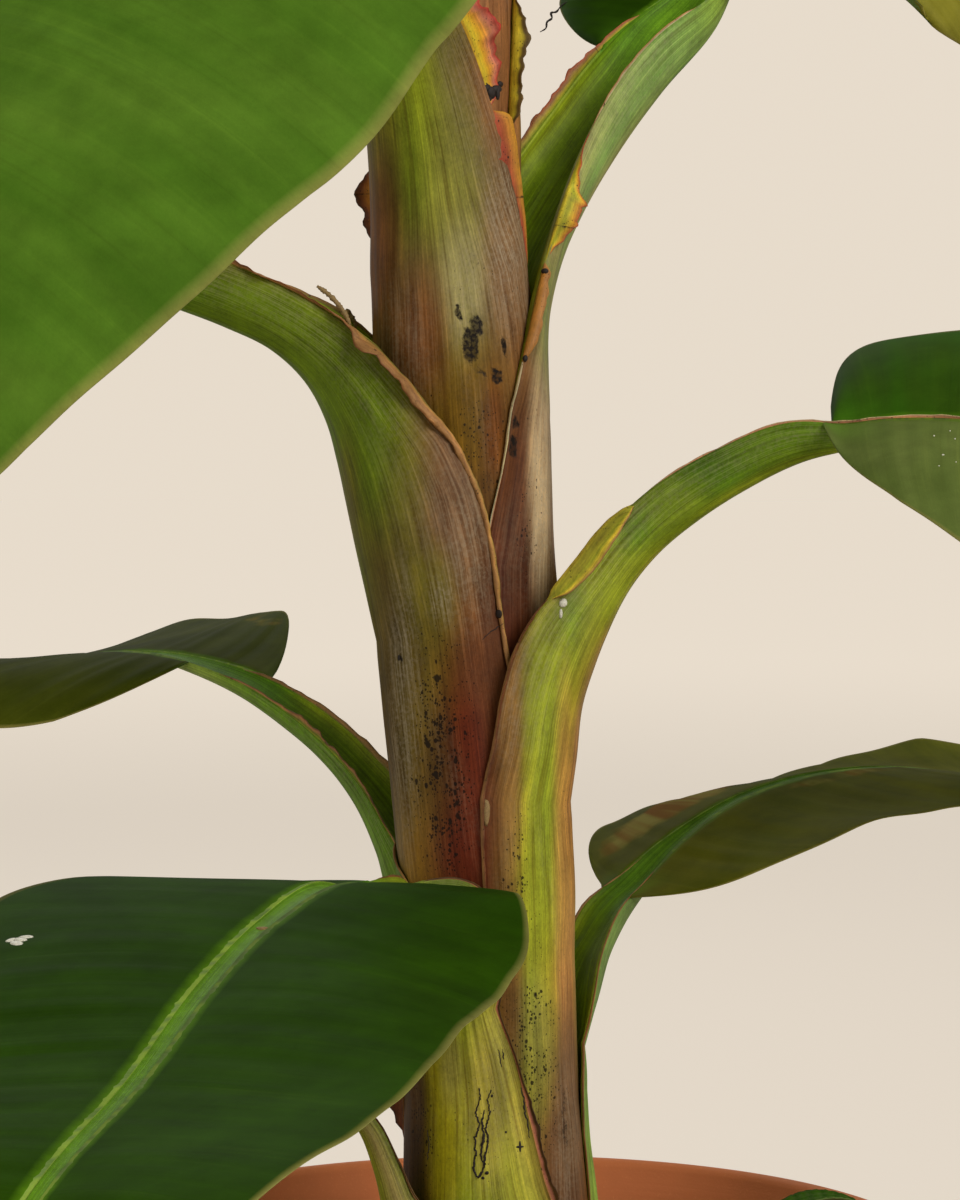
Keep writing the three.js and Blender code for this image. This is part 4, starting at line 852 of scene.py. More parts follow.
def paint_inside(leaf, rows, u):
    share = rows["share"][:, None]
    inside = mix(np.broadcast_to(tone(leaf.get("inside", "meadow")), (share.shape[0], u.shape[1], 3)),
                 tone("lime"), smooth(0.6, 1.0, np.abs(u)) * 0.8 + 0 * share)
    groove = np.broadcast_to(tone("rib"), inside.shape)
    return mix(inside, groove, smooth(-0.05, 0.03, share) + 0 * u)


def paint_blade(leaf, which, share, q, place, upper):
    seed = leaf["az"] * 7 + which
    streak = ripple(seed, place, [(0.043, 0.3), (0.081, 0.3), (0.14, 0.3)])
    cloud = ripple(seed + 3, place * 0.01 + q * 0.8, [(1.0, 0.6), (2.3, 0.4)])
    if upper:
        low, high = leaf.get("green", ("bottle", "bottle_light") * 2)[2 * which:2 * which + 2]
        colour = mix(np.broadcast_to(tone(low), q.shape + (3,)), tone(high), 0.4 + 0.3 * streak + 0.3 * cloud)
        colour = mix(colour, tone("rib"), 0.8 * (1 - smooth(0, 0.05, q)))
    else:
        colour = mix(np.broadcast_to(tone("under"), q.shape + (3,)), tone("mid"), 0.3 + 0.2 * streak)
    base = 1 - smooth(0.0, 0.06, share)[:, None]
    colour = mix(colour, tone("bright"), 0.35 * base * (1 - smooth(0, 0.5, q)))
    colour = mix(colour, tone("straw"), 0.4 * smooth(0.99, 1.0, q))
    half, from_q, from_share = leaf.get("faded", (-1, 0.5, 0.5))
    if half == which:
        faded = smooth(from_q, from_q + 0.15, q) * smooth(from_share, from_share + 0.06, share)[:, None]
        colour = mix(colour, tone("khaki"), FADING * faded)
    marks = np.zeros(q.shape + (4,))
    sign = 1 if which == 0 else -1
    for at_share, at_q, spread_share, spread_q, what, strength in BLADE_MARKS.get((leaf["name"], sign), ()):
        away = np.hypot((share[:, None] - at_share) / spread_share, (q - at_q) / spread_q)
        channel = MARK_CHANNEL[what]
        marks[..., channel] = np.maximum(marks[..., channel], strength * (1 - smooth(0.2, 1.0, away)))
    marks[..., 2] = np.maximum(marks[..., 2], 0.0 if upper else 0.2)
    return colour, marks


def leaf_mesh(order, materials):
    """Whole leaf as one closed mesh, and what its dry margins need to find its lips."""
    leaf = LEAVES[order]
    rows = leaf_rows(order)
    outer, inner, u = gutter_grids(order, rows)
    sheets = Sheets()
    colour, marks = paint_gutter(leaf, rows, u, outer)
    outer_n = sheets.grid(outer, colour, marks)
    inner_n = sheets.grid(inner, paint_inside(leaf, rows, u))
    fibre = np.stack(np.broadcast_arrays(u * 45.0, rows["place"][:, None]), -1)
    stalk, blade = 0, 1
    sheets.skin(outer_n, fibre, stalk, flip=True)
    sheets.skin(inner_n, fibre, stalk)
    first = rows["blade_row"]
    sheets.strip(outer_n[:first + 1, 0], inner_n[:first + 1, 0], 1, fibre[:first + 1, :2], stalk)
    sheets.strip(outer_n[:first + 1, -1], inner_n[:first + 1, -1], 1, fibre[:first + 1, -2:], stalk, True)
    for row, flip in ((0, False), (-1, True)):
        sheets.strip(outer_n[row], inner_n[row], 0, np.stack([fibre[row], fibre[row]], 0), stalk, flip)
    share = np.clip(rows["share"][first:], 0, 1)
    for which in (0, 1):
        upper, lower, q, width, place = blade_grids(order, rows, outer, inner, which)
        tint_up, marks_up = paint_blade(leaf, which, share, q, place, True)
        tint_low, marks_low = paint_blade(leaf, which, share, q, place, False)
        lip = -1 if which == 0 else 0
        upper_n = sheets.grid(upper, tint_up, marks_up)
        lower_n = sheets.grid(lower, tint_low, marks_low)
        upper_n[:, 0], lower_n[:, 0] = inner_n[first:, lip], outer_n[first:, lip]
        veins = np.stack([place, width], -1)
        mirrored = which == 1
        sheets.skin(upper_n, veins, blade, flip=mirrored)
        sheets.skin(lower_n, veins, blade, flip=not mirrored)
        sheets.strip(lower_n[:, -1], upper_n[:, -1], 1, veins[:, -2:], blade, not mirrored)
        sheets.strip(upper_n[-1], lower_n[-1], 0, np.stack([veins[-1], veins[-1]], 0), blade, mirrored)
    mesh = sheets.mesh(f"leaf_{leaf['name']}", materials)
    return mesh, {"rows": rows, "outer": outer, "inner": inner}


def dry_margin(sheets, lips, seed, lip, table, words, fold=None):
    """Thin curled strip on one lip of a leaf; fold is where it turns over, as shares of its width."""
    place = lips["rows"]["place"]
    low, high = max(table[0][0], place[0]), min(table[-1][0], place[-1])
    s = [low]
    while s[-1] < high:
        s.append(s[-1] + (MARGIN_STEP if column(table, s[-1], 1) > WIDE_MARGIN else 3 * MARGIN_STEP))
    s = np.array(s)
    edge = int(round((lip + 1) / 2 * (GUTTER_COLUMNS - 1)))
    before = edge + (2 if lip < 0 else -2)
    at_edge, at_before, inner_edge = [
        np.stack([np.interp(s, place, lips[side][:, c, k]) for k in range(3)], 1)
        for side, c in (("outer", edge), ("outer", before), ("inner", edge))]
    root = at_edge * 0.6 + inner_edge * 0.4 if abs(lip) == 1 else at_edge
    away = unit(at_edge - at_before)
    along = unit(np.gradient(root, axis=0))
    outward = unit(np.cross(along, away))
    outward = outward * np.sign(np.sum(outward * (at_edge - inner_edge), 1, keepdims=True) + 1e-9)
    scale = bpy.context.scene.banana_plant.margin_scale
    calm = FOLD_CALM if fold else 1
    ragged = 1 + ripple(seed, s, [(0.045, 0.1), (0.11, 0.1), (0.23, 0.06), (0.41, 0.03)]) * calm
    width = column(table, s, 1) * np.clip(ragged, 0.3, 2) * scale
    width = width * smooth(-1, 4, np.arange(len(s))) * smooth(-1, 4, np.arange(len(s))[::-1])
    wave = ripple(seed + 1, s, [(0.05, 16), (0.13, 10), (0.31, 5)]) * calm
    curl = np.radians(column(table, s, 2) + wave * np.clip(width / 4, 0, 1))
    lean = np.radians(column(table, s, 3))
    v = np.linspace(0, 1, MARGIN_COLUMNS)[None, :]
    turn = smooth(*fold, v) if fold else v ** 1.2
    angle = lean[:, None] * smooth(0, 0.3, v) + curl[:, None] * turn
    step = width[:, None] / (MARGIN_COLUMNS - 1)
    sideways = np.hstack([0 * step, np.cumsum(np.cos(angle[:, 1:]) * step, 1)])
    lifted = np.hstack([0 * step, np.cumsum(np.sin(angle[:, 1:]) * step, 1)])
    start = root[:, None] - away[:, None] * MARGIN_INSET
    middle = start + away[:, None] * sideways[..., None] + outward[:, None] * lifted[..., None]
    face = outward[:, None] * np.cos(angle)[..., None] - away[:, None] * np.sin(angle)[..., None]
    half = face * (MARGIN_HALF - MARGIN_THINNING * v)[..., None]
    colour = tone_row(words, 2 * v - 1 + 0 * width[:, None])
    drift = ripple(seed + 2, s, [(0.03, 0.5), (0.11, 0.4), (0.37, 0.3)])[:, None]
    colour = mix(colour, tone("sepia"), np.clip(0.25 * drift, 0, 0.25) + 0 * v)
    marks = np.zeros(colour.shape[:-1] + (4,))
    marks[..., 0] = np.clip(drift - 0.55, 0, 1) * 0.9
    marks[..., 1] = 0.3
    fibre = np.stack([v * width[:, None] + 0 * v, s[:, None] + 0 * v], -1)
    top = sheets.grid(middle + half, colour, marks)
    low = sheets.grid(middle - half, mix(colour, tone("straw"), 0.1 + 0 * colour[..., 0]), marks)
    turned = lip < 0
    handed = bool(np.mean(np.sum(np.cross(away, along) * outward, 1)) > 0)
    sheets.skin(top, fibre, 0, flip=turned != handed)
    sheets.skin(low, fibre, 0, flip=turned == handed)
    sheets.strip(top[:, -1], low[:, -1], 1, fibre[:, -2:], 0, turned)
    sheets.strip(top[:, 0], low[:, 0], 1, fibre[:, :2], 0, not turned)
    for row, flip in ((0, turned), (-1, not turned)):
        sheets.strip(top[row], low[row], 0, fibre[:2], 0, flip)


def finish_piece(name, mesh, slot, *nodes):
    """Object for a mesh that is already in place, standing for CAD nodes and riding on the one body."""
    piece = placed_object(name, mesh)
    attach(piece, "root")
    if nodes:
        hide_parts(*nodes)
    return piece


# Pieces that flecks and cracks can lie on.
STALKS = ("dry_margins", "leaf_top_back", "leaf_top_front", "leaf_upper_front", "leaf_upper_right",
          "leaf_middle_left", "leaf_middle_right", "leaf_lower_front")
# Raised flecks: (kind, column and row in the picture, half width, half height, thickness).
FLECKS = [
    ("sap", 563, 604, 1.2, 1.3, 0.9), ("sap", 561, 613, 0.4, 1.3, 0.4), ("sap", 20, 940, 2.4, 1.3, 0.4),
    ("sap", 27, 937, 1.9, 1.0, 0.35), ("sap", 15, 943, 1.9, 1.2, 0.35), ("sap", 11, 940, 1.2, 1.5, 0.3),
    ("scar", 262, 929, 2.2, 1.0, 0.5), ("sap", 934, 436, 0.25, 0.3, 0.25),
    ("sap", 943, 455, 0.3, 0.2, 0.25), ("sap", 955, 439, 0.2, 0.3, 0.25),
    ("sap", 939, 466, 0.25, 0.2, 0.2), ("sap", 956, 462, 0.2, 0.2, 0.2),
    ("sap", 950, 431, 0.2, 0.25, 0.2), ("knot", 545, 271, 1.0, 0.8, 0.9),
    ("knot", 525, 358, 0.8, 1.1, 0.8), ("knot", 487, 88, 1.6, 1.0, 0.5), ("knot", 491, 91, 1.5, 1.6, 0.6),
    ("knot", 496, 89, 1.7, 1.1, 0.6), ("knot", 500, 84, 1.3, 0.9, 0.5), ("knot", 490, 96, 0.7, 1.5, 0.4),
    ("knot", 498, 94, 0.7, 1.7, 0.4), ("knot", 499, 614, 1.1, 1.3, 0.4),
    ("knot", 399, 658, 0.5, 0.8, 0.3), ("knot", 520, 1147, 1.3, 0.35, 0.3),
    ("knot", 520, 1147, 0.35, 1.3, 0.3), ("knot", 483, 1178, 0.5, 0.4, 0.3),
    ("knot", 506, 1132, 0.35, 0.35, 0.3), ("knot", 492, 1096, 0.4, 0.5, 0.3),
    ("knot", 487, 1173, 0.5, 0.5, 0.3), ("scar", 487, 811, 1.0, 4.2, 0.5),
]

# Cracks in the skin and dry slivers: (kind, thickness, whether it hangs free after its start, columns and
# rows in the picture).
CRACKS = [
    ("knot", 0.32, False, [(479, 1088), (480, 1100), (476, 1112), (479, 1126), (475, 1140), (476, 1155),
        (474, 1168), (478, 1177), (483, 1170), (485, 1156), (488, 1142), (486, 1128), (490, 1112),
        (488, 1100), (491, 1090)]),
    ("knot", 0.36, False, [(484, 1110), (482, 1124), (484, 1138), (481, 1152), (482, 1162)]),
    ("knot", 0.18, False, [(498, 1050), (500, 1058), (502, 1067)]),
    ("knot", 0.18, False, [(502, 1049), (504, 1060)]),
    ("knot", 0.25, False, [(521, 1088), (524, 1100), (525, 1114), (528, 1126), (529, 1139)]),
    ("knot", 0.14, False, [(482, 640), (488, 634), (497, 628), (504, 624)]),
    ("knot", 0.16, False, [(427, 1130), (429, 1145), (427, 1160)]),
    ("knot", 0.3, False, [(486, 84), (490, 88), (495, 90), (499, 86)]),
    ("knot", 0.3, True, [(567, 2), (561, 6), (556, 12), (551, 13), (552, 18), (547, 22), (546, 28),
        (540, 32)]),
    ("scar", 0.8, True, [(350, 325), (345, 314), (337, 303), (328, 294), (317, 286)]),
    ("scar", 0.7, True, [(356, 328), (351, 315), (346, 309)]),
]
# Steps and jitter along a crack, in pixels of the picture, the sides of its section, and how its ends taper.
CRACK_STEP, CRACK_JITTER, CRACK_SIDES, CRACK_END = 1.6, 0.45, 6, 0.25
FLECK_FINISHES = (("sap", (236, 232, 214), 0.35), ("scar", (150, 122, 74), 0.7), ("knot", (34, 22, 14), 0.7))


def skin_tree(names):
    """Search tree over the faces of several pieces."""
    points, faces = [], []
    for name in names:
        skin = bpy.data.objects[name].data
        first = len(points)
        points += [corner.co.copy() for corner in skin.vertices]
        faces += [[first + v for v in face.vertices] for face in skin.polygons]
    return BVHTree.FromPolygons(points, faces)


def sight(column_at, row_at):
    """Direction from the camera through a place in the picture."""
    pitch = math.radians(CAMERA_PITCH)
    right = (column_at - PICTURE[0] / 2) / PICTURE[0] * SENSOR / CAMERA_LENS
    down = (row_at - PICTURE[1] / 2) / PICTURE[0] * SENSOR / CAMERA_LENS
    forward = math.cos(pitch) - down * math.sin(pitch)
    return Vector((right, forward, -math.sin(pitch) - down * math.cos(pitch)))


def fleck_mesh(kind, material, tree):
    """All raised flecks of one kind: uneven lumps pressed onto the leaves' skin."""
    work = bmesh.new()
    for number, (what, column_at, row_at, wide, tall, thick) in enumerate(FLECKS):
        if what != kind:
            continue
        spot, normal, _, _ = tree.ray_cast(Vector(CAMERA_PLACE), sight(column_at, row_at).normalized())
        if spot is None:
            raise RuntimeError(f"Fleck {number} lies on nothing")
        if normal.y > 0:
            normal = -normal
        upwards = (Vector((0, 0, 1)) - normal * normal.z).normalized()
        frame_here = Matrix((upwards.cross(normal), upwards, normal)).transposed()
        rng = np.random.default_rng(900 + number)
        lump = bmesh.ops.create_icosphere(work, subdivisions=2, radius=1.0)["verts"]
        bumps = [(Vector(rng.normal(size=3)).normalized(), rng.uniform(-0.3, 0.3)) for _ in range(6)]
        for vert in lump:
            swell = 1 + sum(height * max(vert.co.dot(way), 0) ** 2 for way, height in bumps)
            local = Vector((vert.co.x * wide, vert.co.y * tall, vert.co.z * thick)) * swell * MM
            vert.co = spot + frame_here @ local
    for face in work.faces:
        face.smooth = True
    mesh = finished_mesh(work, f"{kind}_flecks")
    mesh.materials.append(material)
    return mesh


def crack_mesh(kind, tree, material):
    """Thin ragged lines on the skin, and dry slivers that hang from an edge."""
    sheets = Sheets()
    eye = Vector(CAMERA_PLACE)
    for number, (what, thickness, hangs, stops) in enumerate(CRACKS):
        if what != kind:
            continue
        rng = np.random.default_rng(700 + number)
        knots = knots_of(stops)
        at = np.linspace(0, knots[-1], int(knots[-1] / CRACK_STEP) + 2)
        path = through(knots, stops, at) + rng.normal(0, 0.0 if hangs else CRACK_JITTER, (len(at), 2))
        points = []
        for place in path:
            way = sight(*place).normalized()
            spot = tree.ray_cast(eye, way)[0]
            if spot is None and not points:
                raise RuntimeError(f"Crack {number} starts on nothing")
            if spot is None or (hangs and points):
                spot = eye + way * (points[-1] - eye).length
            points.append(spot)
        points = np.array(points) / MM
        along = unit(np.gradient(points, axis=0))
        side = unit(np.cross(along, [0.0, 1.0, 0.0]))
        angle = np.linspace(0, 2 * math.pi, CRACK_SIDES + 1)[None, :, None]
        taper = np.sin(np.linspace(CRACK_END, math.pi - CRACK_END, len(at))) ** 0.5
        reach = thickness * (0.7 + 0.6 * rng.random(len(at))) * taper
        ring = points[:, None] + reach[:, None, None] * (side[:, None] * np.cos(angle)
                                                         + np.cross(along, side)[:, None] * np.sin(angle))
        numbers = sheets.grid(ring, np.zeros(3))
        numbers[:, -1] = numbers[:, 0]
        fibre = np.zeros(ring.shape[:2] + (2,))
        sheets.skin(numbers, fibre, 0)
        for row, flip in ((0, False), (-1, True)):
            sheets.cap(numbers[row], points[row], np.zeros(3), fibre, flip)
    return sheets.mesh(f"{kind}_lines", [material])


# Shader helpers.


def add_node(tree, kind, wires=None, **settings):
    """Node with its settings, and its inputs given as values or as sockets to link."""
    node = tree.nodes.new(kind)
    for key, value in settings.items():
        setattr(node, key, value)
    for key, value in (wires or {}).items():
        if isinstance(value, bpy.types.NodeSocket):
            tree.links.new(value, node.inputs[key])
        else:
            node.inputs[key].default_value = value
    return node


def math_node(tree, operation, a, b=0.0, clamp=False):
    return add_node(tree, "ShaderNodeMath", {0: a, 1: b}, operation=operation, use_clamp=clamp).outputs[0]


def times(tree, a, b, clamp=False):
    return math_node(tree, "MULTIPLY", a, b, clamp)


def plus(tree, a, b, clamp=False):
    return math_node(tree, "ADD", a, b, clamp)


def minus(tree, a, b):
    return math_node(tree, "SUBTRACT", a, b)


def vector_node(tree, operation, wires, output=0):
    return add_node(tree, "ShaderNodeVectorMath", wires, operation=operation).outputs[output]


def object_spot(tree):
    return add_node(tree, "ShaderNodeTexCoord").outputs["Object"]


def set_bump(tree, shader, height, distance):
    bump = add_node(tree, "ShaderNodeBump", {"Height": height, "Distance": distance, "Strength": 1.0})
    tree.links.new(bump.outputs[0], shader.inputs["Normal"])


def ramp(tree, value, low, high, to_low=0.0, to_high=1.0):
    wires = {"Value": value, "From Min": low, "From Max": high, "To Min": to_low, "To Max": to_high}
    return add_node(tree, "ShaderNodeMapRange", wires, interpolation_type="SMOOTHSTEP").outputs[0]


def mix_colour(tree, share, a, b, blend="MIX"):
    wires = {0: share, 6: a, 7: b}
    return add_node(tree, "ShaderNodeMix", wires, data_type="RGBA", blend_type=blend).outputs[2]


def stretched(tree, vector, x, y, z=1.0):
    return vector_node(tree, "MULTIPLY", {0: vector, 1: (x, y, z)})


def noise(tree, vector, scale, detail=2.0, roughness=0.5):
    wires = {"Vector": vector, "Scale": scale, "Detail": detail, "Roughness": roughness}
    return add_node(tree, "ShaderNodeTexNoise", wires).outputs["Fac"]


def new_group(name, inputs, outputs):
    tree = bpy.data.node_groups.new(name, "ShaderNodeTree")
    for label, kind, value in inputs:
        tree.interface.new_socket(name=label, in_out="INPUT", socket_type=kind).default_value = value
    for label, kind in outputs:
        tree.interface.new_socket(name=label, in_out="OUTPUT", socket_type=kind)
    return tree, tree.nodes.new("NodeGroupInput"), tree.nodes.new("NodeGroupOutput")


def rgb(name):
    return (*tone(name), 1.0)


def plant_surface_group():
    """Fibres, bloom, speckles, blots and dry patches over a painted tint."""
    number, colour = "NodeSocketFloat", "NodeSocketColor"
    tree, given, result = new_group(
        "plant_surface",
        [("Tint", colour, (0.1, 0.2, 0.05, 1)), ("Marks", colour, (0, 0, 0, 1)), ("Dryness", number, 0.0),
         ("Fibre width", number, 0.0007), ("Fibre length", number, 0.03), ("Fibre strength", number, 0.5),
         ("Base roughness", number, 0.45)],
        [("Color", colour), ("Roughness", number), ("Height", number)])
    fibre = add_node(tree, "ShaderNodeUVMap", uv_map="fibre").outputs[0]
    spot = object_spot(tree)
    split = add_node(tree, "ShaderNodeSeparateColor", {"Color": given.outputs["Marks"]}).outputs
    across = math_node(tree, "DIVIDE", 1.0, given.outputs["Fibre width"])
    lengthways = math_node(tree, "DIVIDE", 1.0, given.outputs["Fibre length"])
    scale = add_node(tree, "ShaderNodeCombineXYZ", {0: across, 1: lengthways, 2: 1.0}).outputs[0]
    drawn = vector_node(tree, "MULTIPLY", {0: fibre, 1: scale})
    fine = noise(tree, drawn, 1.0, 3.0, 0.6)
    broad = noise(tree, stretched(tree, drawn, 0.22, 0.5), 1.0, 2.0, 0.5)
    fleck = noise(tree, spot, 900.0, 2.0, 0.6)
    cloud = noise(tree, spot, 60.0, 3.0, 0.6)
    swing = minus(tree, plus(tree, fine, broad), 1.0)
    swing = times(tree, swing, given.outputs["Fibre strength"])
    tint = given.outputs["Tint"]
    pale = vector_node(tree, "MULTIPLY_ADD", {0: tint, 1: (1.75, 1.62, 1.4), 2: (0.012, 0.011, 0.004)})
    shade = vector_node(tree, "MULTIPLY", {0: tint, 1: (0.5, 0.38, 0.3)})
    colour_now = mix_colour(tree, times(tree, ramp(tree, swing, 0.0, 0.28), 0.62), tint, pale)
    colour_now = mix_colour(tree, times(tree, ramp(tree, swing, 0.0, -0.28), 0.62), colour_now, shade)
    grain = noise(tree, stretched(tree, spot, 1, 1, 0.55), 1700.0, 2.0, 0.7)
    blotchy = noise(tree, stretched(tree, spot, 1, 1, 0.5), 210.0, 3.0, 0.65)
    rough_skin = times(tree, given.outputs["Fibre strength"], 0.34)
    grain = times(tree, minus(tree, grain, 0.5), rough_skin)
    blotchy = times(tree, minus(tree, blotchy, 0.5), rough_skin)
    uneven = plus(tree, times(tree, grain, 2.2), times(tree, blotchy, 2.4))
    dapple = plus(tree, ramp(tree, cloud, 0.3, 0.7, 0.88, 1.12), uneven)
    dappled = vector_node(tree, "SCALE", {0: colour_now, "Scale": dapple})
    waxy = plus(tree, ramp(tree, fine, 0.42, 0.66), ramp(tree, fleck, 0.42, 0.66, 0.0, 0.6))
    waxy = times(tree, waxy, split[2])
    waxy = times(tree, waxy, 0.5, clamp=True)
    colour_now = mix_colour(tree, waxy, dappled, (0.4, 0.33, 0.22, 1))
    shake = add_node(tree, "ShaderNodeTexNoise", {"Vector": spot, "Scale": 1500.0}).outputs["Color"]
    shaken = vector_node(tree, "MULTIPLY_ADD", {0: shake, 1: (0.0005, 0.0005, 0.0005), 2: spot})
    crowd = times(tree, split[1], ramp(tree, noise(tree, spot, 170.0, 2.0), 0.3, 0.6, 0.45, 1.15))
    dots = None
    for density, most, rarity in ((1500.0, 0.66, 1.2), (760.0, 0.6, 1.5), (360.0, 0.42, 3.0)):
        flattened = stretched(tree, shaken, 1, 1, 0.75)
        cells = add_node(tree, "ShaderNodeTexVoronoi", {"Vector": flattened, "Scale": density})
        luck = add_node(tree, "ShaderNodeSeparateColor", {"Color": cells.outputs["Color"]}).outputs[0]
        size = times(tree, math_node(tree, "POWER", luck, rarity), crowd)
        inside = minus(tree, times(tree, size, most), cells.outputs["Distance"])
        inside = ramp(tree, inside, -0.06, 0.06)
        dots = inside if dots is None else math_node(tree, "MAXIMUM", dots, inside)
    colour_now = mix_colour(tree, times(tree, dots, 0.9), colour_now, rgb("black"))
    ragged = plus(tree, split[0], times(tree, noise(tree, spot, 420.0, 4.0, 0.8), 0.9))
    blot = ramp(tree, ragged, 0.82, 1.08)
    blot_depth = times(tree, blot, ramp(tree, fleck, 0.35, 0.6, 0.7, 1.0))
    colour_now = mix_colour(tree, blot_depth, colour_now, rgb("black"))
    parched = plus(tree, given.outputs["Dryness"], minus(tree, cloud, 0.5))
    parched = ramp(tree, parched, 0.35, 0.75)
    husk = mix_colour(tree, ramp(tree, broad, 0.35, 0.65), rgb("dusk"), rgb("straw"))
    colour_now = mix_colour(tree, times(tree, parched, 0.7), colour_now, husk)
    roughness = plus(tree, given.outputs["Base roughness"], times(tree, waxy, 0.3))
    roughness = plus(tree, roughness, times(tree, parched, 0.25), clamp=True)
    height = plus(tree, times(tree, fine, 0.6), times(tree, broad, 0.8))
    height = minus(tree, height, times(tree, blot, 0.3))
    tree.links.new(colour_now, result.inputs["Color"])
    tree.links.new(roughness, result.inputs["Roughness"])
    tree.links.new(height, result.inputs["Height"])
    return tree


def new_material(name):
    """Material with its node tree and its main shader."""
    material = bpy.data.materials.new(name)
    material.use_nodes = True
    return material, material.node_tree, material.node_tree.nodes["Principled BSDF"]


def plant_material(name, width, length, strength, roughness, relief, specular):
    material, tree, shader = new_material(name)
    group = tree.nodes.new("ShaderNodeGroup")
    group.node_tree = bpy.data.node_groups.get("plant_surface") or plant_surface_group()
    tint = add_node(tree, "ShaderNodeAttribute", attribute_name="tint")
    marks = add_node(tree, "ShaderNodeAttribute", attribute_name="marks")
    tree.links.new(tint.outputs["Color"], group.inputs["Tint"])
    tree.links.new(marks.outputs["Color"], group.inputs["Marks"])
    tree.links.new(marks.outputs["Alpha"], group.inputs["Dryness"])
    for label, value in (("Fibre width", width), ("Fibre length", length), ("Fibre strength", strength),
                         ("Base roughness", roughness)):
        group.inputs[label].default_value = value
    tree.links.new(group.outputs["Color"], shader.inputs["Base Color"])
    tree.links.new(group.outputs["Roughness"], shader.inputs["Roughness"])
    set_bump(tree, shader, group.outputs["Height"], relief)
    shader.inputs["Specular IOR Level"].default_value = specular
    return material


def leaf_materials():
    stalk = bpy.data.materials.get("leaf_stalk") \
        or plant_material("leaf_stalk", 0.0007, 0.03, 1.0, 0.48, 0.00014, 0.14)
    blade = bpy.data.materials.get("leaf_blade") \
        or plant_material("leaf_blade", 0.0012, 0.06, 0.3, 0.55, 0.00008, 0.015)
    return [stalk, blade]


def margin_material():
    return plant_material("dry_margin", 0.0006, 0.01, 0.8, 0.62, 0.00015, 0.3)


# Pieces.


def smooth_shaded(mesh):
    mesh.polygons.foreach_set("use_smooth", np.ones(len(mesh.polygons), bool))
    return mesh


def lathe_mesh(name, profile, segments):
    """Mesh turned round Z from a closed profile of (radius, height), in millimetres."""
    work = bmesh.new()
    corners = [work.verts.new((r * MM, 0, z * MM)) for r, z in profile]
    edges = [work.edges.new((a, b)) for a, b in zip(corners, corners[1:])]
    bmesh.ops.spin(work, geom=corners + edges, cent=(0, 0, 0), axis=(0, 0, 1), angle=2 * math.pi,
                   steps=segments, use_merge=True)
    bmesh.ops.remove_doubles(work, verts=work.verts, dist=1e-6)
    bmesh.ops.recalc_face_normals(work, faces=work.faces)
    return smooth_shaded(finished_mesh(work, name))


def arc(centre, radius, start, stop, steps=6):
    angles = np.radians(np.linspace(start, stop, steps))
    return [(centre[0] + radius * math.cos(a), centre[1] + radius * math.sin(a)) for a in angles]


POT_HEIGHT, POT_RIM, POT_FOOT, POT_WALL, POT_FLOOR = 210.0, 120.0, 84.0, 6.0, 9.0
DRAIN_RADIUS, DRAIN_RING, DRAIN_HOLES = 5.0, 42.0, 4


def wall_radius(z):
    return POT_FOOT + (POT_RIM - POT_FOOT) * z / POT_HEIGHT


def pot_profile():
    """From the middle of the underside, up the outside, over the rim and down the inside."""
    outside = [(0, 0), (POT_FOOT - 10, 0), *arc((POT_FOOT - 3, 3), 3, -90, -10, 5)]
    heights = np.linspace(8, POT_HEIGHT - 6, 40)
    outside += [(wall_radius(z), z) for z in heights]
    rim = arc((POT_RIM - POT_WALL / 2, POT_HEIGHT - POT_WALL / 2), POT_WALL / 2, -5, 185, 12)
    inside = [(wall_radius(z) - POT_WALL, z) for z in heights[::-1] if z > POT_FLOOR + 8]
    floor = [*arc((wall_radius(POT_FLOOR) - POT_WALL - 6, POT_FLOOR + 6), 6, 0, -90, 6), (0, POT_FLOOR)]
    return outside + rim + inside + floor


def clay_material(colour):
    material, tree, shader = new_material("fired_clay")
    spot = object_spot(tree)
    cloud = noise(tree, spot, 18.0, 4.0, 0.6)
    grain = noise(tree, spot, 1400.0, 2.0, 0.6)
    rings = noise(tree, stretched(tree, spot, 3.0, 3.0, 420.0), 1.0, 2.0)
    tone_now = mix_colour(tree, ramp(tree, cloud, 0.3, 0.7), (*[c * 0.84 for c in colour], 1), (*colour, 1))
    pale = mix_colour(tree, ramp(tree, grain, 0.55, 0.8, 0.0, 0.35), tone_now,
                      (*[min(c * 1.5, 1) for c in colour], 1))
    tree.links.new(pale, shader.inputs["Base Color"])
    tree.links.new(ramp(tree, cloud, 0.2, 0.8, 0.62, 0.78), shader.inputs["Roughness"])
    height = plus(tree, times(tree, grain, 0.5), rings)
    set_bump(tree, shader, height, 0.0002)
    shader.inputs["Specular IOR Level"].default_value = 0.35
    return material


def soil_material():
    material, tree, shader = new_material("potting_soil")
    spot = object_spot(tree)
    coarse = noise(tree, spot, 220.0, 4.0, 0.7)
    fine = noise(tree, spot, 1500.0, 3.0, 0.7)
    dark = mix_colour(tree, ramp(tree, coarse, 0.35, 0.65), (0.012, 0.008, 0.005, 1), (0.05, 0.032, 0.02, 1))
    paint = mix_colour(tree, ramp(tree, fine, 0.6, 0.8), dark, (0.1, 0.07, 0.045, 1))
    tree.links.new(paint, shader.inputs["Base Color"])
    height = plus(tree, coarse, times(tree, fine, 0.4))
    set_bump(tree, shader, height, 0.0012)
    shader.inputs["Roughness"].default_value = 0.92
    return material


def plain_material(name, colour, roughness, grain_scale=800.0):
    """Matt material with a little grain."""
    material, tree, shader = new_material(name)
    spot = object_spot(tree)
    grain = noise(tree, spot, grain_scale, 3.0, 0.6)
    dark = tuple(c * 0.7 for c in colour)
    paint = mix_colour(tree, ramp(tree, grain, 0.35, 0.65), (*dark, 1), (*colour, 1))
    tree.links.new(paint, shader.inputs["Base Color"])
    shader.inputs["Roughness"].default_value = roughness
    return material


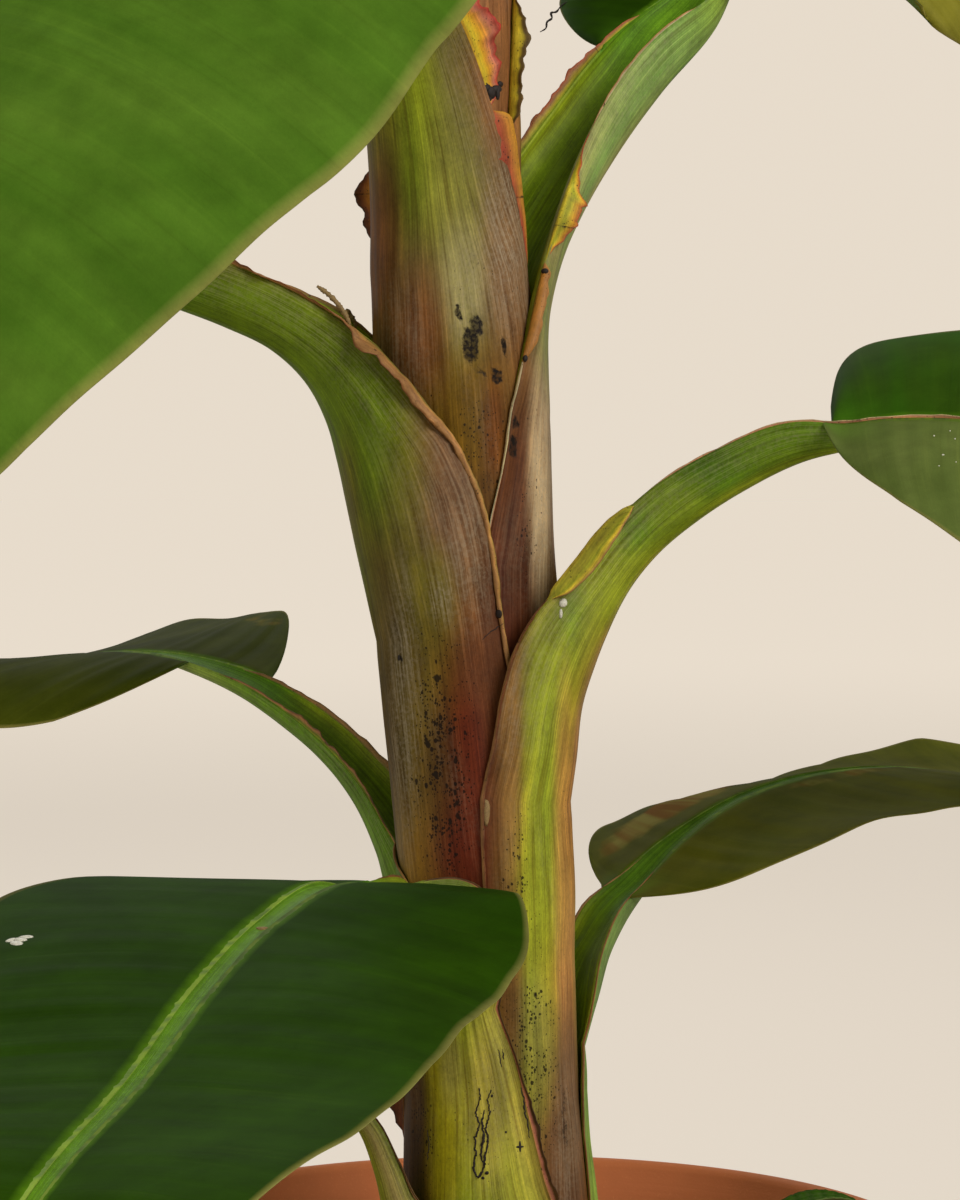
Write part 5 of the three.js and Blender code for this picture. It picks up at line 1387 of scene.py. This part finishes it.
def modifier_input(modifier, label, value):
    for item in modifier.node_group.interface.items_tree:
        if item.item_type == "SOCKET" and item.in_out == "INPUT" and item.name == label:
            modifier[item.identifier] = value
            return
    raise ValueError(f"the node tree has no input named {label}")


def crumb_tree():
    """Scatters lumps of several sizes over a surface's upward faces."""
    tree = bpy.data.node_groups.new("scatter_crumbs", "GeometryNodeTree")
    face = tree.interface
    face.new_socket(name="Geometry", in_out="INPUT", socket_type="NodeSocketGeometry")
    for label, kind, value in (("Lump", "NodeSocketObject", None), ("Density", "NodeSocketFloat", 1000.0),
                               ("Smallest", "NodeSocketFloat", 0.5), ("Largest", "NodeSocketFloat", 1.5),
                               ("Seed", "NodeSocketInt", 1), ("Material", "NodeSocketMaterial", None)):
        socket = face.new_socket(name=label, in_out="INPUT", socket_type=kind)
        if value is not None:
            socket.default_value = value
    face.new_socket(name="Geometry", in_out="OUTPUT", socket_type="NodeSocketGeometry")
    given = tree.nodes.new("NodeGroupInput").outputs
    result = tree.nodes.new("NodeGroupOutput")
    scatter = add_node(tree, "GeometryNodeDistributePointsOnFaces",
                       {"Mesh": given["Geometry"], "Density": given["Density"], "Seed": given["Seed"]})
    lump = add_node(tree, "GeometryNodeObjectInfo", {"Object": given["Lump"]})
    size = add_node(tree, "FunctionNodeRandomValue",
                    {2: given["Smallest"], 3: given["Largest"], "Seed": given["Seed"]},
                    data_type="FLOAT")
    turn = add_node(tree, "FunctionNodeRandomValue",
                    {0: (0, 0, 0), 1: (6.28, 6.28, 6.28), "Seed": given["Seed"]},
                    data_type="FLOAT_VECTOR")
    placed = add_node(tree, "GeometryNodeInstanceOnPoints", {"Points": scatter.outputs["Points"],
                      "Instance": lump.outputs["Geometry"], "Rotation": turn.outputs[0],
                                                             "Scale": size.outputs[1]})
    real = add_node(tree, "GeometryNodeRealizeInstances", {"Geometry": placed.outputs[0]})
    painted = add_node(tree, "GeometryNodeSetMaterial",
                       {"Geometry": real.outputs[0], "Material": given["Material"]})
    tree.links.new(painted.outputs[0], result.inputs[0])
    return tree


def lump_object(name, size, seed, flat=1.0):
    """Small uneven lump with twenty faces, used only as a source for scattering."""
    rng = np.random.default_rng(seed)
    work = bmesh.new()
    bmesh.ops.create_icosphere(work, subdivisions=1, radius=size * MM)
    for corner in work.verts:
        corner.co *= 0.7 + 0.6 * rng.random()
        corner.co.z *= flat
    return placed_object(name, finished_mesh(work, name))


def scattered_mesh(name, base_mesh, lump, density, smallest, largest, seed, material):
    carrier = placed_object(name, base_mesh)
    modifier = carrier.modifiers.new("scatter", "NODES")
    modifier.node_group = bpy.data.node_groups.get("scatter_crumbs") or crumb_tree()
    for label, value in (("Lump", lump), ("Density", density), ("Smallest", smallest), ("Largest", largest),
                         ("Seed", seed), ("Material", material)):
        modifier_input(modifier, label, value)
    bpy.context.view_layer.update()
    evaluated = carrier.evaluated_get(bpy.context.evaluated_depsgraph_get())
    mesh = bpy.data.meshes.new_from_object(evaluated)
    mesh.name = name
    bpy.data.objects.remove(carrier)
    bpy.data.objects.remove(lump)
    return mesh


# Soil: rings and spokes of its grid, its skirt, its rise by the stem, how far and how deep it falls from
# there towards the wall, the height of its bumps, and the gap left at the wall.
SOIL_RINGS, SOIL_SPOKES, SOIL_SKIRT = 60, 180, 30
SOIL_RISE, SOIL_MIDDLE, SOIL_FALL, SOIL_BUMPS, WALL_GAP = 2.6, 45, 1.6, 0.35, 0.4
# Crumbs lie on faces turned up at least this far, between these distances from the pot's axis, in metres.
CRUMB_SLOPE, CRUMB_NEAREST, CRUMB_FARTHEST = 0.4, 0.024, 0.106


def soil_grid(radius, rings, spokes):
    """Bumpy disc of soil inside the pot, with a skirt that goes down by the wall."""
    rng = np.random.default_rng(11)
    phases = rng.random((14, 3))
    work = bmesh.new()
    rows = []
    for i in range(rings + 1):
        r = radius * i / rings
        row = []
        for j in range(spokes if i else 1):
            a = 2 * math.pi * j / spokes
            x, y = r * math.cos(a), r * math.sin(a)
            bumps = sum(math.sin(x * (0.05 + 0.45 * p[0]) + 6.28 * p[1])
                        * math.cos(y * (0.05 + 0.45 * p[2]) + 6.28 * p[0])
                        for p in phases)
            fall = min(max((r - SOIL_MIDDLE) / SOIL_MIDDLE, 0), 1)
            z = SOIL_TOP + SOIL_RISE - SOIL_FALL * fall + SOIL_BUMPS * bumps
            row.append(work.verts.new((x * MM, y * MM, z * MM)))
        rows.append(row)
    skirt = [work.verts.new((v.co.x, v.co.y, v.co.z - SOIL_SKIRT * MM)) for v in rows[-1]]
    foot = work.verts.new((0, 0, (SOIL_TOP - SOIL_SKIRT) * MM))
    for j in range(spokes):
        n = (j + 1) % spokes
        work.faces.new((rows[0][0], rows[1][j], rows[1][n]))
        for low, high in zip(rows[1:], rows[2:]):
            work.faces.new((low[j], high[j], high[n], low[n]))
        work.faces.new((rows[-1][j], skirt[j], skirt[n], rows[-1][n]))
        work.faces.new((skirt[j], foot, skirt[n]))
    bmesh.ops.recalc_face_normals(work, faces=work.faces)
    return smooth_shaded(finished_mesh(work, "soil"))


def top_faces_only(mesh):
    """Copy of a mesh with only its upward faces, away from the stem."""
    work = bmesh.new()
    work.from_mesh(mesh)
    work.normal_update()
    gone = [f for f in work.faces if f.normal.z < CRUMB_SLOPE
            or not CRUMB_NEAREST <= f.calc_center_median().xy.length <= CRUMB_FARTHEST]
    bmesh.ops.delete(work, geom=gone, context="FACES")
    return finished_mesh(work, "soil_top")


def core_mesh(materials):
    """What the sheaths wrap, seen only in the crown and in the gaps between lips."""
    z = np.linspace(SOIL_TOP - 8, STEM_TOP, 90)[:, None]
    azimuth = np.linspace(0, 360, 65)[None, :]
    radius = column(CORE_RADII, z) - 1.0 + 0 * azimuth
    a = np.radians(azimuth)
    points = np.stack(np.broadcast_arrays(axis_x(z) + radius * np.cos(a), radius * np.sin(a), z), -1)
    sheets = Sheets()
    colour = mix(np.broadcast_to(tone("straw"), points.shape), tone("pale"),
                 smooth(400, 580, z) + 0 * azimuth)
    numbers = sheets.grid(points, colour)
    numbers[:, -1] = numbers[:, 0]
    fibre = np.stack(np.broadcast_arrays(azimuth * 0.3, z), -1)
    sheets.skin(numbers, fibre, 0, flip=True)
    for row, flip in ((0, True), (-1, False)):
        sheets.cap(numbers[row], [axis_x(z[row, 0]), 0, z[row, 0]], colour[0, 0], fibre, flip)
    return sheets.mesh("stem_core", materials)


ROLL_TOP, ROLL_LEAN, ROLL_BASE, ROLL_TURNS = 945.0, 14.0, 13.5, 1.6


def roll_mesh(materials):
    """Young leaf still rolled: a tapering spiral whose free edge winds down its side."""
    share = np.linspace(0, 1, 220)[:, None]
    turn = np.linspace(0, 1, 120)[None, :]
    radius = (ROLL_BASE * (1 - share) ** 0.75 + 1.0) * (0.55 + 0.45 * turn)
    angle = 2 * math.pi * (ROLL_TURNS * turn + 0.35 * share) + 3.6
    lean = ROLL_LEAN * share ** 2
    x = axis_x(STEM_TOP) - lean / 2 + radius * np.cos(angle)
    y = lean + radius * np.sin(angle)
    low = STEM_TOP - 60
    z = low + (ROLL_TOP - low) * share + 0 * turn
    middle = np.stack([x, y, z], -1)
    outward = unit(np.stack([np.cos(angle), np.sin(angle), 0 * angle], -1))
    outer = middle + outward * 0.35
    inner = middle - outward * 0.35
    streak = ripple(77, share * 360 + 14 * turn, [(0.12, 0.4), (0.21, 0.3), (0.5, 0.2)])
    colour = mix(mix(np.broadcast_to(tone("lime"), outer.shape), tone("pale"), 0.4 + 0.3 * streak),
                 tone("mid"), smooth(0.5, 1, share) * 0.6 + 0 * turn)
    sheets = Sheets()
    outer_n = sheets.grid(outer, colour, np.array([0, 0, 0.3, 0]))
    inner_n = sheets.grid(inner, colour)
    fibre = np.stack(np.broadcast_arrays(turn * 90, share * 365), -1)
    sheets.skin(outer_n, fibre, 0, flip=True)
    sheets.skin(inner_n, fibre, 0)
    sheets.edges(outer_n, inner_n, fibre, 0)
    return sheets.mesh("rolled_young_leaf", materials)


SHOOT = dict(x=66.0, y=10.0, radius=6.5, height=30.0, taper=0.55, leaf_share=0.62)
SHOOT_LEAVES = [dict(name="shoot_leaf_right", az=8, length=36, width=7, rise=39.5, droop=26),
                dict(name="shoot_leaf_left", az=155, length=42, width=8, rise=27, droop=24)]


def shoot_stem_mesh(materials):
    z = np.linspace(0, 1, 30)[:, None]
    a = np.linspace(0, 2 * math.pi, 41)[None, :]
    radius = SHOOT["radius"] * (1 - (1 - SHOOT["taper"]) * z) * (1 + 0.05 * np.sin(3 * a + 4 * z)) * \
        np.sqrt(np.clip(1.02 - z ** 12, 0, 1))
    base = SOIL_TOP + 1.5
    points = np.stack([SHOOT["x"] + radius * np.cos(a), SHOOT["y"] + radius * np.sin(a),
                       base + SHOOT["height"] * z + 0 * a], -1)
    sheets = Sheets()
    colour = mix(np.broadcast_to(tone("tan"), points.shape), tone("petiole"), smooth(0.1, 0.6, z) + 0 * a)
    numbers = sheets.grid(points, colour, np.array([0, 0.3, 0.2, 0]))
    numbers[:, -1] = numbers[:, 0]
    fibre = np.stack(np.broadcast_arrays(a * 6, z * 34), -1)
    sheets.skin(numbers, fibre, 0, flip=True)
    for row, flip in ((0, True), (-1, False)):
        sheets.cap(numbers[row], [SHOOT["x"], SHOOT["y"], points[row, 0, 2]], colour[row, 0], fibre, flip)
    return sheets.mesh("shoot_stem_skin", materials)


def shoot_leaf_mesh(leaf, materials):
    s = np.linspace(0, 1, 60)[:, None]
    q = np.linspace(-1, 1, 25)[None, :]
    azimuth = math.radians(leaf["az"])
    out = np.array([math.cos(azimuth), math.sin(azimuth), 0])
    side = np.array([-out[1], out[0], 0])
    foot = np.array([SHOOT["x"], SHOOT["y"], SOIL_TOP + SHOOT["height"] * SHOOT["leaf_share"]])
    wide = np.maximum(leaf["width"] * np.sin(math.pi * s ** 0.8) ** 0.8, leaf["width"] * 0.05)
    up = leaf["rise"] * s - leaf["droop"] * s * s + wide * 0.35 * q * q - 0.5 * np.exp(-(q * wide / 0.9) ** 2)
    up = up + 0.08 * ripple(5, s * leaf["length"], [(0.4, 1), (0.7, 0.7)]) * np.abs(q)
    points = foot + out * (leaf["length"] * s + 0 * q)[..., None] + side * (wide * q)[..., None] \
        + np.array([0, 0, 1]) * up[..., None]
    lower = points - np.array([0, 0, 0.45])
    sheets = Sheets()
    green = mix(np.broadcast_to(tone("deep"), points.shape), tone("mid"), 0.4 + 0.2 * np.sin(s * 60) + 0 * q)
    green = mix(green, tone("bright"), 1 - smooth(0.05, 0.15, np.abs(q)) + 0 * s)
    upper_n = sheets.grid(points, green, np.array([0, 0, 0.2, 0]))
    lower_n = sheets.grid(lower, tone("under"), np.array([0, 0, 0.3, 0]))
    fibre = np.stack(np.broadcast_arrays(q * 9, s * leaf["length"]), -1)
    sheets.skin(upper_n, fibre, 1)
    sheets.skin(lower_n, fibre, 1, flip=True)
    sheets.edges(lower_n, upper_n, fibre, 1)
    return sheets.mesh(f"{leaf['name']}_skin", materials)


# Camera and light.
CAMERA_PLACE = (-0.008, -1.0, 0.428)
CAMERA_PITCH = 2.2
CAMERA_LENS = 107.1
# Film along the taller side of the picture, and across the narrower one.
FILM, SENSOR = 36.0, 28.8
CLIP = (0.05, 200.0)
PICTURE = (960, 1200)
SKY_COLOUR = (1.0, 0.97, 0.93)
BACKDROP = (0.80, 0.712, 0.60)
# Soft lights: name, place, width across and tint, all turned towards the middle of the plant.
LIGHTS = (("key", (1.5, -1.7, 1.75), 1.5, (1.0, 0.97, 0.93)),
          ("fill", (-1.5, -1.9, 1.1), 1.7, (1.0, 0.96, 0.91)),
          ("rear", (-0.6, 1.9, 1.9), 1.6, (1.0, 0.98, 0.95)))
LIGHT_AIM = (0, 0, 0.42)
REAR_SHARE = 0.4
# Floor: near the plant it is painted darker by the first share and glows less by the second. That is painted
# shade against the lamps' light there. Its glow towards the camera is painted light that gives it the
# backdrop's colour.
FLOOR_NEAR_SHADE_SHARE = 0.72
FLOOR_NEAR_GLOW = 0.72
FLOOR_NEAR, FLOOR_FAR = 0.4, 7.0
FLOOR_RADIUS, FLOOR_DROP = 40.0, 0.0005


class PotSettings(bpy.types.PropertyGroup):
    """Sizes and colour of the pot and its soil."""
    # The default clay colour is lighter than the clay itself: painted light that brightens the shaded inside
    # of the far rim.
    colour: bpy.props.FloatVectorProperty(name="Clay colour", description="Colour of the fired clay",
                                          subtype="COLOR", size=3, default=tuple(linear((242, 140, 84))))
    crumbs: bpy.props.FloatProperty(name="Crumb density", description="Soil crumbs for each square metre",
                                    default=52000.0, min=0.0)


class PlantSettings(bpy.types.PropertyGroup):
    """Finish of the plant."""
    margin_scale: bpy.props.FloatProperty(name="Dry margins",
                                          description="Size of the dry leaf margins, 1 as grown",
                                          default=1.0, min=0.1, max=2.0)


class StageSettings(bpy.types.PropertyGroup):
    """Light and floor."""
    floor_colour: bpy.props.FloatVectorProperty(name="Floor colour", description="Colour of the plain floor",
                                                subtype="COLOR", size=3, default=(0.85, 0.777, 0.683))
    key_power: bpy.props.FloatProperty(name="Key light", description="Power of the large soft light",
                                       default=41.0, subtype="POWER")
    fill_power: bpy.props.FloatProperty(name="Fill light", description="Power of the opposite soft light",
                                        default=21.0, subtype="POWER")
    sky_strength: bpy.props.FloatProperty(name="Surrounding light",
                                          description="Strength of the even light all round", default=0.4)


class BANANA_OT_pot(bpy.types.Operator):
    """Make the tapered clay pot with its drain holes"""
    bl_idname = "banana.pot"
    bl_label = "Pot"

    def execute(self, context):
        pot = placed_object("clay_pot", lathe_mesh("clay_pot", pot_profile(), 160))
        work = bmesh.new()
        for i in range(DRAIN_HOLES):
            a = 2 * math.pi * (i + 0.5) / DRAIN_HOLES
            place = Matrix.Translation((DRAIN_RING * MM * math.cos(a), DRAIN_RING * MM * math.sin(a),
                                        POT_FLOOR / 2 * MM))
            bmesh.ops.create_cone(work, cap_ends=True, segments=32, radius1=DRAIN_RADIUS * MM,
                                  radius2=DRAIN_RADIUS * MM, depth=3 * POT_FLOOR * MM, matrix=place)
        drill = placed_object("drill", finished_mesh(work, "drill"))
        cut = pot.modifiers.new("drain", "BOOLEAN")
        cut.object = drill
        cut.solver = "EXACT"
        context.view_layer.update()
        done = bpy.data.meshes.new_from_object(pot.evaluated_get(context.evaluated_depsgraph_get()))
        bpy.data.objects.remove(pot)
        bpy.data.objects.remove(drill)
        done.materials.clear()
        # The clay colour carries painted light: it is lighter than the real clay.
        done.materials.append(clay_material(context.scene.banana_pot.colour))
        finish_piece("clay_pot", smooth_by_angle(done, 40), "pot_clay", "pot")
        return {"FINISHED"}


def smooth_by_angle(mesh, degrees):
    """Smooth faces, with the edges sharper than the angle kept sharp."""
    smooth_shaded(mesh)
    mesh.set_sharp_from_angle(angle=math.radians(degrees))
    return mesh


class BANANA_OT_soil(bpy.types.Operator):
    """Make the potting soil with its crumbs and pale grains"""
    bl_idname = "banana.soil"
    bl_label = "Soil"

    def execute(self, context):
        material = soil_material()
        radius = wall_radius(SOIL_TOP) - POT_WALL - WALL_GAP
        mesh = soil_grid(radius, SOIL_RINGS, SOIL_SPOKES)
        mesh.materials.append(material)
        crumbs = context.scene.banana_pot.crumbs
        kinds = [("soil_crumbs", lump_object("crumb", 1.1, 3), crumbs, 0.5, 1.7, 5, material),
                 ("bark_chips", lump_object("chip", 2.6, 4, 0.3), crumbs * 0.05, 0.6, 1.5, 8,
                  plain_material("bark_chip", (0.12, 0.065, 0.035), 0.85)),
                 ("pale_grains", lump_object("grain", 0.9, 6), crumbs * 0.05, 0.6, 1.6, 9,
                  plain_material("pale_grain", (0.62, 0.58, 0.5), 0.9))]
        for name, *how in kinds:
            scattered = scattered_mesh(name, top_faces_only(mesh), *how)
            finish_piece(name, scattered, "potting_soil")
        finish_piece("soil_bed", mesh, "potting_soil", "soil")
        return {"FINISHED"}


class BANANA_OT_stem(bpy.types.Operator):
    """Make the stem's core and the rolled young leaf in the crown"""
    bl_idname = "banana.stem"
    bl_label = "Stem core and rolled leaf"

    def execute(self, context):
        materials = leaf_materials()
        finish_piece("stem_core", core_mesh(materials), "stem_sheath", "stem")
        finish_piece("rolled_young_leaf", roll_mesh(materials), "rolled_green", "rolled_leaf")
        return {"FINISHED"}


LIPS = {}


class BANANA_OT_leaves(bpy.types.Operator):
    """Make every leaf: sheath, petiole, midrib and blade in one"""
    bl_idname = "banana.leaves"
    bl_label = "Leaves"

    def execute(self, context):
        materials = leaf_materials()
        for order, leaf in enumerate(LEAVES):
            mesh, lips = leaf_mesh(order, materials)
            LIPS[leaf["name"]] = lips
            nodes = [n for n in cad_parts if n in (f"petiole_{leaf['name']}",)
                     or n.startswith(f"blade_{leaf['name']}_")]
            finish_piece(f"leaf_{leaf['name']}", mesh, "petiole_green", *nodes)
        return {"FINISHED"}


class BANANA_OT_margins(bpy.types.Operator):
    """Make the thin dry margins that curl from the lips of the sheaths and petioles"""
    bl_idname = "banana.margins"
    bl_label = "Dry margins"

    def execute(self, context):
        if not LIPS:
            raise RuntimeError("The leaves come first")
        sheets = Sheets()
        for number, (name, *strip) in enumerate(DRY_MARGINS):
            dry_margin(sheets, LIPS[name], 300 + 7 * number, *strip)
        finish_piece("dry_margins", sheets.mesh("dry_margins", [margin_material()]), "petiole_green")
        return {"FINISHED"}


class BANANA_OT_flecks(bpy.types.Operator):
    """Make the dried sap, crusts, scars and dark knots on the leaves"""
    bl_idname = "banana.flecks"
    bl_label = "Sap and flecks"

    def execute(self, context):
        tree = skin_tree(STALKS)
        for kind, colour, roughness in FLECK_FINISHES:
            mesh = fleck_mesh(kind, plain_material(kind, linear(colour), roughness, 2600.0), tree)
            finish_piece(f"{kind}_flecks", mesh, "petiole_green")
        for kind in ("knot", "scar"):
            finish_piece(f"{kind}_lines", crack_mesh(kind, tree, bpy.data.materials[kind]), "petiole_green")
        return {"FINISHED"}


class BANANA_OT_shoot(bpy.types.Operator):
    """Make the small side shoot by the rim"""
    bl_idname = "banana.shoot"
    bl_label = "Side shoot"

    def execute(self, context):
        materials = leaf_materials()
        finish_piece("shoot_stem_skin", shoot_stem_mesh(materials), "rolled_green", "shoot_stem")
        for leaf in SHOOT_LEAVES:
            finish_piece(f"{leaf['name']}_skin", shoot_leaf_mesh(leaf, materials), "blade_green",
                         leaf["name"])
        return {"FINISHED"}


def soft_light(name, place, size, power, colour):
    data = bpy.data.lights.new(name, "AREA")
    data.shape = "DISK"
    data.size = size
    data.energy = power
    data.color = colour
    light = placed_object(name, data)
    light.location = place
    light.rotation_euler = (Vector(LIGHT_AIM) - Vector(place)).to_track_quat("-Z", "Y").to_euler()


class BANANA_OT_stage(bpy.types.Operator):
    """Make the floor, the soft lights and the camera"""
    bl_idname = "banana.stage"
    bl_label = "Stage"

    def execute(self, context):
        settings = context.scene.banana_stage
        work = bmesh.new()
        bmesh.ops.create_circle(work, cap_ends=True, segments=96, radius=FLOOR_RADIUS)
        floor = placed_object("floor", finished_mesh(work, "floor"))
        floor.location = (0, 0, -FLOOR_DROP)
        # Painted shade and painted light: the floor is darker near the plant and glows towards the camera
        # only, most far off, so that it looks as even as the backdrop.
        material, tree, shader = new_material("floor_paint")
        spot = object_spot(tree)
        distance = vector_node(tree, "LENGTH", {0: spot}, "Value")
        nearness = ramp(tree, distance, FLOOR_NEAR, FLOOR_FAR, FLOOR_NEAR_GLOW, 1.0)
        near = tuple(FLOOR_NEAR_SHADE_SHARE * c for c in settings.floor_colour)
        paint = mix_colour(tree, ramp(tree, distance, FLOOR_NEAR, FLOOR_FAR), (*near, 1),
                           (*settings.floor_colour, 1))
        tree.links.new(paint, shader.inputs["Base Color"])
        glow = tuple(seen - settings.sky_strength * c * s
                     for seen, c, s in zip(BACKDROP, settings.floor_colour, SKY_COLOUR))
        shader.inputs["Emission Color"].default_value = (*glow, 1)
        path = tree.nodes.new("ShaderNodeLightPath")
        seen_glow = times(tree, path.outputs["Is Camera Ray"], nearness)
        tree.links.new(seen_glow, shader.inputs["Emission Strength"])
        shader.inputs["Roughness"].default_value = 0.9
        shader.inputs["Specular IOR Level"].default_value = 0.0
        floor.data.materials.append(material)
        world = bpy.data.worlds.new("studio")
        world.use_nodes = True
        tree = world.node_tree
        lit = tree.nodes["Background"]
        lit.inputs["Color"].default_value = (*SKY_COLOUR, 1)
        lit.inputs["Strength"].default_value = settings.sky_strength
        seen = add_node(tree, "ShaderNodeBackground", {"Color": (*BACKDROP, 1), "Strength": 1.0})
        path = tree.nodes.new("ShaderNodeLightPath")
        both = add_node(tree, "ShaderNodeMixShader", {0: path.outputs["Is Camera Ray"], 1: lit.outputs[0],
                        2: seen.outputs[0]})
        tree.links.new(both.outputs[0], tree.nodes["World Output"].inputs[0])
        context.scene.world = world
        powers = {"key": settings.key_power, "fill": settings.fill_power,
                  "rear": settings.fill_power * REAR_SHARE}
        for name, place, size, tint in LIGHTS:
            soft_light(name, place, size, powers[name], tint)
        data = bpy.data.cameras.new("camera")
        data.lens = CAMERA_LENS
        data.sensor_width = FILM
        data.clip_start, data.clip_end = CLIP
        camera = placed_object("camera", data)
        camera.location = CAMERA_PLACE
        camera.rotation_euler = (math.radians(90 - CAMERA_PITCH), 0, 0)
        context.scene.camera = camera
        context.scene.view_settings.view_transform = "Standard"
        return {"FINISHED"}


class BANANA_PT_panel(bpy.types.Panel):
    """Sidebar list of what the add-on makes"""
    bl_label = "Banana plant"
    bl_idname = "BANANA_PT_panel"
    bl_space_type = "VIEW_3D"
    bl_region_type = "UI"
    bl_category = "Banana"

    def draw(self, context):
        scene = context.scene
        for group, names in ((scene.banana_pot, ("colour", "crumbs")),
                             (scene.banana_plant, ("margin_scale",)),
                             (scene.banana_stage,
                              ("floor_colour", "key_power", "fill_power", "sky_strength"))):
            for name in names:
                self.layout.prop(group, name)
        for operator in OPERATORS:
            self.layout.operator(operator.bl_idname)


OPERATORS = (BANANA_OT_stage, BANANA_OT_pot, BANANA_OT_soil, BANANA_OT_stem, BANANA_OT_leaves,
             BANANA_OT_margins, BANANA_OT_flecks, BANANA_OT_shoot)
SETTINGS = (("banana_pot", PotSettings), ("banana_plant", PlantSettings), ("banana_stage", StageSettings))


def register():
    for name, group in SETTINGS:
        bpy.utils.register_class(group)
        setattr(bpy.types.Scene, name, bpy.props.PointerProperty(type=group))
    for item in (*OPERATORS, BANANA_PT_panel):
        bpy.utils.register_class(item)


def unregister():
    for item in (BANANA_PT_panel, *reversed(OPERATORS)):
        bpy.utils.unregister_class(item)
    for name, group in reversed(SETTINGS):
        delattr(bpy.types.Scene, name)
        bpy.utils.unregister_class(group)


def main():
    register()
    bpy.ops.banana.stage()
    bpy.ops.banana.pot()
    bpy.ops.banana.soil()
    bpy.ops.banana.stem()
    bpy.ops.banana.leaves()
    bpy.ops.banana.margins()
    bpy.ops.banana.flecks()
    bpy.ops.banana.shoot()


if __name__ == "__main__":
    main()
